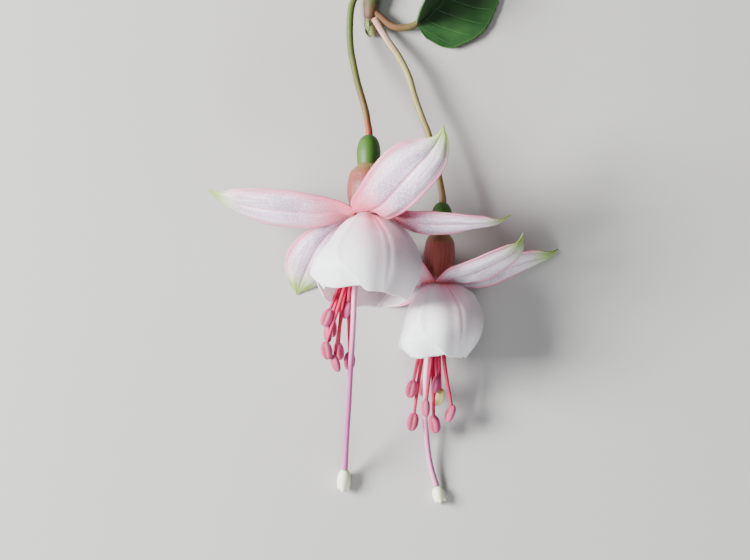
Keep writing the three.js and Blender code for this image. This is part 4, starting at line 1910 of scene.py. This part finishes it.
@dataclass
class Leaf:
    """The leaf on its stalk, folded along its midrib.

    Attributes:
        half_width: The blade's greatest width to one side of its midrib.
        heading: The way the midrib points, in degrees from the right.
        fold: How far the raised half stands up along the blade, in degrees.
        lobes: How far the foot of the raised and of the flat half reaches back.
        outline: Its half width from foot to tip, as shares.
        sag: How far the flat half hangs down at its margin.
        wave: How far its margins wave.
        quilt: How far it swells between its side veins.
        rib: How deep the groove over its midrib is.
        bend: How softly it turns over at the fold.
    """

    stalk: Sequence[Point] = (
        (-2.9, 53.9, 2.2), (-0.9, 52.4, 2.3), (0.8, 50.9, 2.3), (2.8, 49.8, 2.4),
        (5.2, 49.6, 2.5), (7.6, 50.1, 2.6), (9.4, 51.2, 2.4),
    )
    stalk_radius: float = 0.95
    base: Point = (8.3, 50.3, 2.6)
    length: float = 34.0
    half_width: float = 13.0
    heading: float = 42.0
    fold: Sequence[float] = (84.0, 50.0, 0.0)
    teeth: int = 20
    tooth_depth: float = 0.25
    lobes: Pair = (0.6, 1.9)
    end_height: float = 0.9
    wall: float = 0.5
    outline: Sequence[float] = (0.05, 0.73, 0.92, 1.0, 0.98, 0.88, 0.74, 0.57, 0.38, 0.19, 0.03)
    sag: float = 1.6
    wave: float = 0.25
    quilt: float = 0.14
    rib: float = 0.3
    bend: float = 0.8

    def _half(self, along: float, out: float) -> float:
        """Finds the width of one half, with its teeth.

        Args:
            along: The share along the blade.
            out: The share out from the midrib.

        Returns:
            The width, to which the share out applies.
        """
        saw = (along * self.teeth) % 1.0
        tooth = self.tooth_depth * (saw if saw < 0.8 else (1.0 - saw) * 4.0) * out ** 6
        return self.half_width * max(read_list(self.outline, along), 0.02) + tooth

    def _lift(self, along: float, s: float) -> float:
        """Finds how high the blade lies over its base.

        Args:
            along: The share along the blade.
            s: From -1 to 1 across it.

        Returns:
            The height, in millimetres.
        """
        out = abs(s)
        droop = (Vector(self.base).z - self.end_height) * along * along
        sag = self.sag * s * smoothstep(along, 0.0, 0.15) * (1.0 - along) if s > 0.0 else 0.0
        wave = self.wave * math.sin(9.0 * along) * out
        veins = abs(math.sin(math.pi * vein_arch(out, along) * SIDE_VEINS + math.pi / 2.0))
        quilt = self.quilt * veins * smoothstep(out, 0.05, 0.3)
        rib = self.rib * hump(s, 0.0, 0.05) * (1.0 - along)
        bend = self.bend * hump(s, 0.0, 0.16) * smoothstep(along, 0.0, 0.2) * (1.0 - along)
        return wave - droop - sag - quilt - rib + bend

    def _blade_surface(self) -> Surface:
        """Shapes the blade: one half lies flat and the other stands up.

        Returns:
            The surface, from the stalk to the tip.
        """
        angle = math.radians(self.heading)
        heading = Vector((math.cos(angle), math.sin(angle), 0.0))
        flat_side = heading.cross(UP)

        def surface(across: float, along: float) -> Vector:
            """Finds a point of the blade.

            Args:
                across: Across it, from 0 to 1.
                along: From its foot to its tip, from 0 to 1.

            Returns:
                The point, in millimetres.
            """
            s = spread(across)
            out = abs(s)
            fold = math.radians(read_list(self.fold, along))
            side = flat_side if s > 0.0 else flat_side * -math.cos(fold) + UP * math.sin(fold)
            lobe = self.lobes[s > 0.0] * smoothstep(along, 0.0, 0.05) * (1.0 - smoothstep(along, 0.05, 0.32))
            point = Vector(self.base) + heading * (self.length * along - lobe * out ** 1.5)
            return point + side * (out * self._half(along, out)) + UP * self._lift(along, s)

        return surface

    def build(self) -> None:
        """Builds the leaf and its stalk."""
        rod = Rod(Route(self.stalk), lambda share: self.stalk_radius * (1.02 - 0.1 * share), caps=(0.4, 0.3),
                  ribs=lambda angle, share: 0.03 * math.cos(3.0 * angle))
        stalk = Skin().lay(24, 60, rod.surface).weld()
        stalk.become("leaf_stalk_stem", LEAF_STALK_FINISH, Slot.STALK, ["leaf_stalk"])
        blade = Skin().lay(64, 176, self._blade_surface(), lambda across, along: self.wall)
        blade.thicken().rest_on_floor()
        blade.become("leaf_blade_skin", LEAF_FINISH, Slot.LEAF, ["leaf_blade"])


# ---------------------------------------------------------------- the two blooms

LEFT_SEPALS = (
    Sepal(
        path=((-3.3, 0.7, 0.0), (-7.0, 0.3, 0.6), (-13.5, -0.3, 0.8), (-19.8, 0.1, 0.2),
              (-27.6, 0.9, -1.5), (-34.1, 2.2, -3.6), (-38.2, 3.7, -5.2), (-41.2, 5.7, -6.0)),
        across=((0.0, 0.15, 0.98), (0.0, 0.64, 0.77), (0.0, 0.54, 0.84)),
        half_width=7.5,
    ),
    Sepal(
        path=((3.3, 0.6, 0.0), (7.0, -0.9, 1.0), (11.2, -2.7, 1.9), (16.4, -3.3, 3.0),
              (23.1, -3.3, 4.0), (29.4, -3.0, 4.2), (34.1, -2.5, 3.6), (37.3, -0.8, 3.0)),
        across=((0.0, -0.2, -0.98), (0.0, -0.55, -0.83), (0.0, -0.27, -0.96)),
        half_width=7.5 * 0.7,
    ),
    Sepal(
        path=((0.4, 0.7, 3.3), (0.7, 0.5, 5.2), (1.8, 0.9, 8.4), (4.0, 2.9, 12.3), (7.9, 7.2, 15.6),
              (12.3, 12.1, 17.4), (16.2, 16.2, 17.8), (18.6, 19.3, 17.9), (19.8, 22.1, 18.8)),
        across=((0.98, -0.2, 0.0), (0.79, -0.61, 0.0)),
        half_width=7.5,
        outlines=((0.46, 0.74, 0.88, 0.97, 1.03, 1.06, 1.03, 0.88, 0.56, 0.15, 0.02),
                  (0.42, 0.56, 0.7, 0.81, 0.89, 0.93, 0.94, 0.91, 0.79, 0.44, 0.02)),
        keel=0.1,
        fold=0.38,
        bulge=0.6,
    ),
    Sepal(
        path=((-1.8, 0.0, -2.9), (-4.9, -1.4, -6.0), (-9.1, -4.6, -10.0), (-12.8, -8.8, -13.5),
              (-15.3, -13.5, -16.4), (-17.1, -17.9, -18.9), (-18.4, -21.4, -20.8)),
        across=((-0.85, 0.1, 0.5), (-0.95, 0.25, 0.2)),
        half_width=7.5,
        outlines=((0.4, 0.55, 0.72, 0.85, 0.94, 1.0, 1.0, 0.96, 0.84, 0.52, 0.03),
                  (0.36, 0.34, 0.32, 0.34, 0.46, 0.65, 0.80, 0.84, 0.73, 0.45, 0.03)),
    ),
)
LEFT_ANTHERS = (
    Anther((-10.4, -27.4, 2.6), (-0.42, -1.0, -0.1), 15.0, (-7.4, 1.1)),
    Anther((-10.2, -31.6, 0.4), (0.02, -1.0, -0.2), 80.0, (-6.6, -0.4)),
    Anther((-10.5, -36.0, 2.2), (0.2, -1.0, -0.2), 20.0, (-5.8, 2.5)),
    Anther((-8.2, -39.3, 0.4), (0.3, -1.0, -0.2), 70.0, (-5.2, 0.9)),
    Anther((-4.6, -38.7, -3.6), (-0.05, -1.0, -0.2), 0.0, (-4.4, 1.7)),
    Anther((-5.4, -25.4, 0.6), (-0.3, -1.0, -0.3), 60.0, (-4.4, 3.1)),
    Anther((-7.4, -36.2, -2.4), (0.1, -1.0, -0.2), 30.0, (-5.9, -1.0)),
    Anther((-8.9, -30.2, -3.2), (0.05, -1.0, -0.3), 100.0, (-6.9, -1.6)),
)
LEFT_SEAT = Seat(
    side=BloomSide.LEFT,
    hub=(-4.4, 1.3, 21.0),
    tilt=12.0,
    tube_swing=1.5,
    swing=0.0,
    tube_length=12.2,
    style_exit=(-3.1, -19.5, 4.1),
)
LEFT_PEDICEL_PATH = (
    (-3.9, 22.5, 16.4), (-4.2, 24.2, 15.6), (-4.7, 27.3, 14.3), (-5.9, 31.7, 12.2), (-6.8, 34.8, 10.6),
    (-7.8, 39.3, 8.4), (-8.7, 44.5, 6.1), (-8.9, 49.9, 4.4), (-8.5, 54.9, 3.3), (-7.5, 57.7, 2.7),
    (-6.4, 59.4, 2.4), (-4.8, 60.6, 2.2),
)
LEFT_BLOOM = Bloom(
    pedicel=Pedicel(LEFT_SEAT, 8.2, LEFT_PEDICEL_PATH, LEFT_PEDICEL_FINISH),
    ovary=Ovary(LEFT_SEAT, 8.2, 3.07),
    calyx=Calyx(LEFT_SEAT, 5.3, LEFT_SEPALS, LEFT_SEPAL_FINISH),
    corolla=Corolla(
        LEFT_SEAT,
        round_side=(
            (0.3, 2.5), (1.2, 3.0), (2.1, 5.0), (3.6, 7.7), (6.2, 10.2), (10.0, 12.3), (13.4, 13.1),
            (17.2, 12.6), (20.6, 11.2), (23.8, 9.2),
        ),
        straight_side=(
            (0.3, 2.5), (1.2, 3.0), (2.4, 5.1), (4.4, 7.3), (8.6, 10.2), (11.2, 12.2), (13.6, 13.7),
            (16.0, 14.5), (18.8, 13.6), (22.6, 11.8),
        ),
        turn=64.0,
        lifted=(190.0, 0.125),
        folds=(
            (96.0, 15.0, 0.5), (74.0, 9.0, -0.3), (30.0, 16.0, 0.3), (150.0, 14.0, 0.3), (250.0, 20.0, 0.3),
        ),
        lengths=(1.05, 0.97, 1.18, 1.06),
        front_painted_shade_finish=LEFT_FRONT_PETAL_SHADED_FINISH,
    ),
    stamens=Stamens(LEFT_SEAT, LEFT_ANTHERS),
    style=Style(
        LEFT_SEAT,
        path=(
            (-3.5, -27.8, 3.2), (-3.9, -35.1, 1.5), (-4.3, -40.8, -0.6), (-4.8, -50.2, -5.6),
            (-5.4, -59.3, -11.8), (-5.85, -67.2, -18.2),
        ),
        stigma_tip=(-6.3, -72.9, -19.9),
        stigma_radius=1.8,
        finish=LEFT_STYLE_FINISH,
    ),
)

RIGHT_SEPALS = (
    Sepal(
        path=((1.8, 0.7, 2.9), (3.8, 0.9, 4.9), (6.6, 1.3, 7.2), (10.9, 2.6, 9.0),
              (15.6, 4.9, 10.0), (19.0, 6.9, 10.4), (21.1, 9.0, 10.8), (22.1, 12.3, 11.6)),
        across=((0.8, -0.15, -0.55), (0.2, -0.55, -0.8)),
        half_width=5.9 * 0.88,
    ),
    Sepal(
        path=((2.6, 0.4, -2.2), (5.4, 0.2, -4.0), (10.4, 0.9, -5.5), (16.1, 2.6, -7.0),
              (21.8, 4.4, -8.4), (26.0, 5.7, -9.4), (29.1, 6.6, -10.1), (31.5, 8.3, -10.6)),
        across=((-0.65, -0.1, -0.75), (0.1, -0.6, -0.8), (0.1, -0.45, -0.9)),
        half_width=5.9 * 0.92,
    ),
    Sepal(
        path=((-2.4, 0.8, 2.3), (-4.4, 1.6, 1.8), (-7.3, 2.6, -0.3), (-10.9, 3.6, -2.8),
              (-15.1, 4.5, -4.8), (-19.5, 4.9, -6.3), (-22.0, 4.6, -7.0)),
        across=((0.68, 0.15, 0.7), (0.05, 0.95, 0.3)),
        half_width=5.9,
    ),
    Sepal(
        path=((-2.4, 0.4, -2.4), (-4.3, 0.1, -4.4), (-7.6, -0.3, -6.6), (-11.4, -1.0, -8.4),
              (-15.1, -1.3, -9.6), (-18.7, -1.0, -10.3), (-22.4, 0.2, -10.6)),
        across=((-0.7, 0.15, 0.7), (-0.1, 0.99, 0.1)),
        half_width=5.9,
    ),
)
RIGHT_ANTHERS = (
    Anther((-6.8, -28.2, -3.0), (-0.25, -1.0, -0.2), 10.0, (-4.9, -0.6)),
    Anther((-3.6, -27.8, -6.4), (-0.2, -1.0, -0.2), 50.0, (-2.6, -2.9)),
    Anther((-0.3, -26.9, -3.0), (-0.15, -1.0, -0.2), 110.0, (-0.4, -0.2)),
    Anther((0.4, -30.4, -5.0), (-0.3, -1.0, -0.2), 30.0, (0.4, -2.4), ripe=True),
    Anther((-3.1, -33.2, -2.4), (-0.03, -1.0, -0.2), 75.0, (-1.5, 0.9)),
    Anther((-6.5, -36.8, -5.8), (-0.2, -1.0, -0.1), 0.0, (-4.0, -2.4)),
    Anther((-0.8, -37.4, -6.0), (0.2, -1.0, -0.1), 20.0, (-1.0, -2.4)),
    Anther((3.3, -34.6, -4.4), (-0.4, -1.0, -0.1), 65.0, (1.6, -1.0)),
)
RIGHT_SEAT = Seat(
    side=BloomSide.RIGHT,
    hub=(14.0, -16.6, 11.1),
    tilt=3.0,
    tube_swing=3.5,
    swing=-3.5,
    tube_length=12.6,
    style_exit=(-2.6, -19.5, -0.8),
)
RIGHT_PEDICEL_PATH = (
    (15.3, 4.6, 10.2), (14.5, 9.6, 9.6), (13.0, 16.1, 8.6), (11.5, 22.1, 7.6), (10.1, 25.6, 7.0),
    (8.1, 31.2, 6.0), (6.4, 36.9, 5.1), (3.8, 42.1, 4.2), (1.0, 46.1, 3.4), (-1.0, 49.4, 2.7),
    (-2.6, 52.2, 2.4),
)
RIGHT_BLOOM = Bloom(
    pedicel=Pedicel(RIGHT_SEAT, 7.9, RIGHT_PEDICEL_PATH, RIGHT_PEDICEL_FINISH),
    ovary=Ovary(RIGHT_SEAT, 7.9, 2.8),
    calyx=Calyx(RIGHT_SEAT, 4.05, RIGHT_SEPALS, RIGHT_SEPAL_FINISH),
    corolla=Corolla(
        RIGHT_SEAT,
        round_side=(
            (0.3, 2.5), (0.9, 3.2), (1.9, 5.6), (4.0, 8.2), (6.3, 9.4), (8.9, 10.3), (11.6, 10.3),
            (14.6, 9.5), (17.4, 7.9), (20.3, 5.3),
        ),
        straight_side=(
            (0.3, 2.5), (1.1, 3.2), (2.7, 5.4), (5.0, 7.1), (7.9, 8.7), (10.5, 9.4), (13.0, 10.2),
            (15.6, 11.3), (17.8, 10.8), (20.6, 9.2),
        ),
        turn=58.0,
        lifted=(186.0, 0.16),
        folds=(
            (92.0, 14.0, 0.4), (70.0, 9.0, -0.3), (30.0, 14.0, 0.3), (135.0, 14.0, 0.3),
        ),
        lengths=(1.02, 0.98, 0.9, 0.97),
        front_painted_shade_finish=RIGHT_FRONT_PETAL_SHADED_FINISH,
    ),
    stamens=Stamens(RIGHT_SEAT, RIGHT_ANTHERS),
    style=Style(
        RIGHT_SEAT,
        path=(
            (-3.1, -25.7, -2.4), (-3.2, -31.0, -5.0), (-3.3, -35.6, -6.6), (-2.9, -40.2, -7.7),
            (-2.5, -44.3, -8.5), (-1.8, -48.4, -9.1), (-0.25, -53.8, -9.6),
        ),
        stigma_tip=(1.0, -58.0, -9.9),
        stigma_radius=1.7,
        finish=RIGHT_STYLE_FINISH,
    ),
)

# ---------------------------------------------------------------- studio


@dataclass
class Lamp:
    """A soft lamp that shines at the spray."""

    name: str
    at: Point
    size: float
    power: float
    tint: Colour = (1.0, 1.0, 1.0)

    def build(self, aim: Vector) -> None:
        """Sets up the lamp.

        Args:
            aim: The point that it shines at.
        """
        data = bpy.data.lights.new(self.name, "AREA")
        data.shape = "SQUARE"
        data.size = self.size
        data.energy = self.power
        data.color = self.tint
        shining = bpy.data.objects.new(self.name, data)
        shining.location = self.at
        shining.rotation_euler = (aim - Vector(self.at)).to_track_quat("-Z", "Y").to_euler()
        shining.visible_camera = False
        bpy.context.scene.collection.objects.link(shining)


@dataclass
class Studio:
    """The camera, the pale floor and the soft lamps.

    Attributes:
        aim: The point of the spray at the middle of the picture.
        view_width: How much the picture shows across at that point.
        distance: From the camera to that point.
        sensor: The camera's sensor width, in millimetres.
        floor_size: The length of the floor's side.
        floor_drop: How far the floor lies below the spray, so that they don't meet.
        sky: The colour of the light from all round.
        sky_strength: How strong that light is.
        lamps: The lamps.
    """

    aim: Point = (-2.34 * MM, -16.38 * MM, 18.0 * MM)
    view_width: float = 0.195
    distance: float = 3.0
    sensor: float = 36.0
    floor_size: float = 6.0
    floor_drop: float = 0.05 * MM
    sky: Colour = (0.93, 0.96, 1.0)
    sky_strength: float = 0.11
    lamps: Sequence[Lamp] = (
        Lamp("window_lamp", (-0.83, 0.14, 0.54), 0.4, 46.0, (1.0, 0.985, 0.96)),
        Lamp("fill_lamp", (-0.1, -0.85, 0.34), 0.5, 8.5, (0.98, 0.98, 1.0)),
        Lamp("top_lamp", (-0.15, 0.2, 1.0), 0.5, 2.0),
    )

    def set_camera(self) -> None:
        """Sets up the camera, which looks straight down with the stem's cut end at the top."""
        data = bpy.data.cameras.new("studio_camera")
        data.sensor_width = self.sensor
        data.lens = self.sensor * self.distance / self.view_width
        camera = bpy.data.objects.new("studio_camera", data)
        camera.location = Vector(self.aim) + UP * self.distance
        bpy.context.scene.collection.objects.link(camera)
        bpy.context.scene.camera = camera

    def _lay_floor(self) -> None:
        """Lays the floor just below the spray."""
        mesh = bmesh.new()
        bmesh.ops.create_grid(mesh, x_segments=1, y_segments=1, size=self.floor_size / 2.0)
        data = bpy.data.meshes.new("studio_floor")
        mesh.to_mesh(data)
        mesh.free()
        floor = bpy.data.objects.new("studio_floor", data)
        floor.location.z = -self.floor_drop
        bpy.context.scene.collection.objects.link(floor)
        data.materials.append(FLOOR_FINISH.material())

    def build(self) -> None:
        """Builds the floor, the lamps and the soft light from all round."""
        self._lay_floor()
        for lamp in self.lamps:
            lamp.build(Vector(self.aim))
        world = bpy.data.worlds.new("studio_light")
        world.use_nodes = True
        background = world.node_tree.nodes["Background"]
        background.inputs["Color"].default_value = (*self.sky, 1.0)
        background.inputs["Strength"].default_value = self.sky_strength
        bpy.context.scene.world = world


def main() -> None:
    """Builds the scene."""
    logging.basicConfig(level=logging.INFO, format="%(name)s: %(message)s")
    studio = Studio()
    studio.set_camera()
    for grown in (Stem(), TerminalBud(), Leaf(), LEFT_BLOOM, RIGHT_BLOOM):
        grown.build()
    studio.build()


if __name__ == "__main__":
    main()
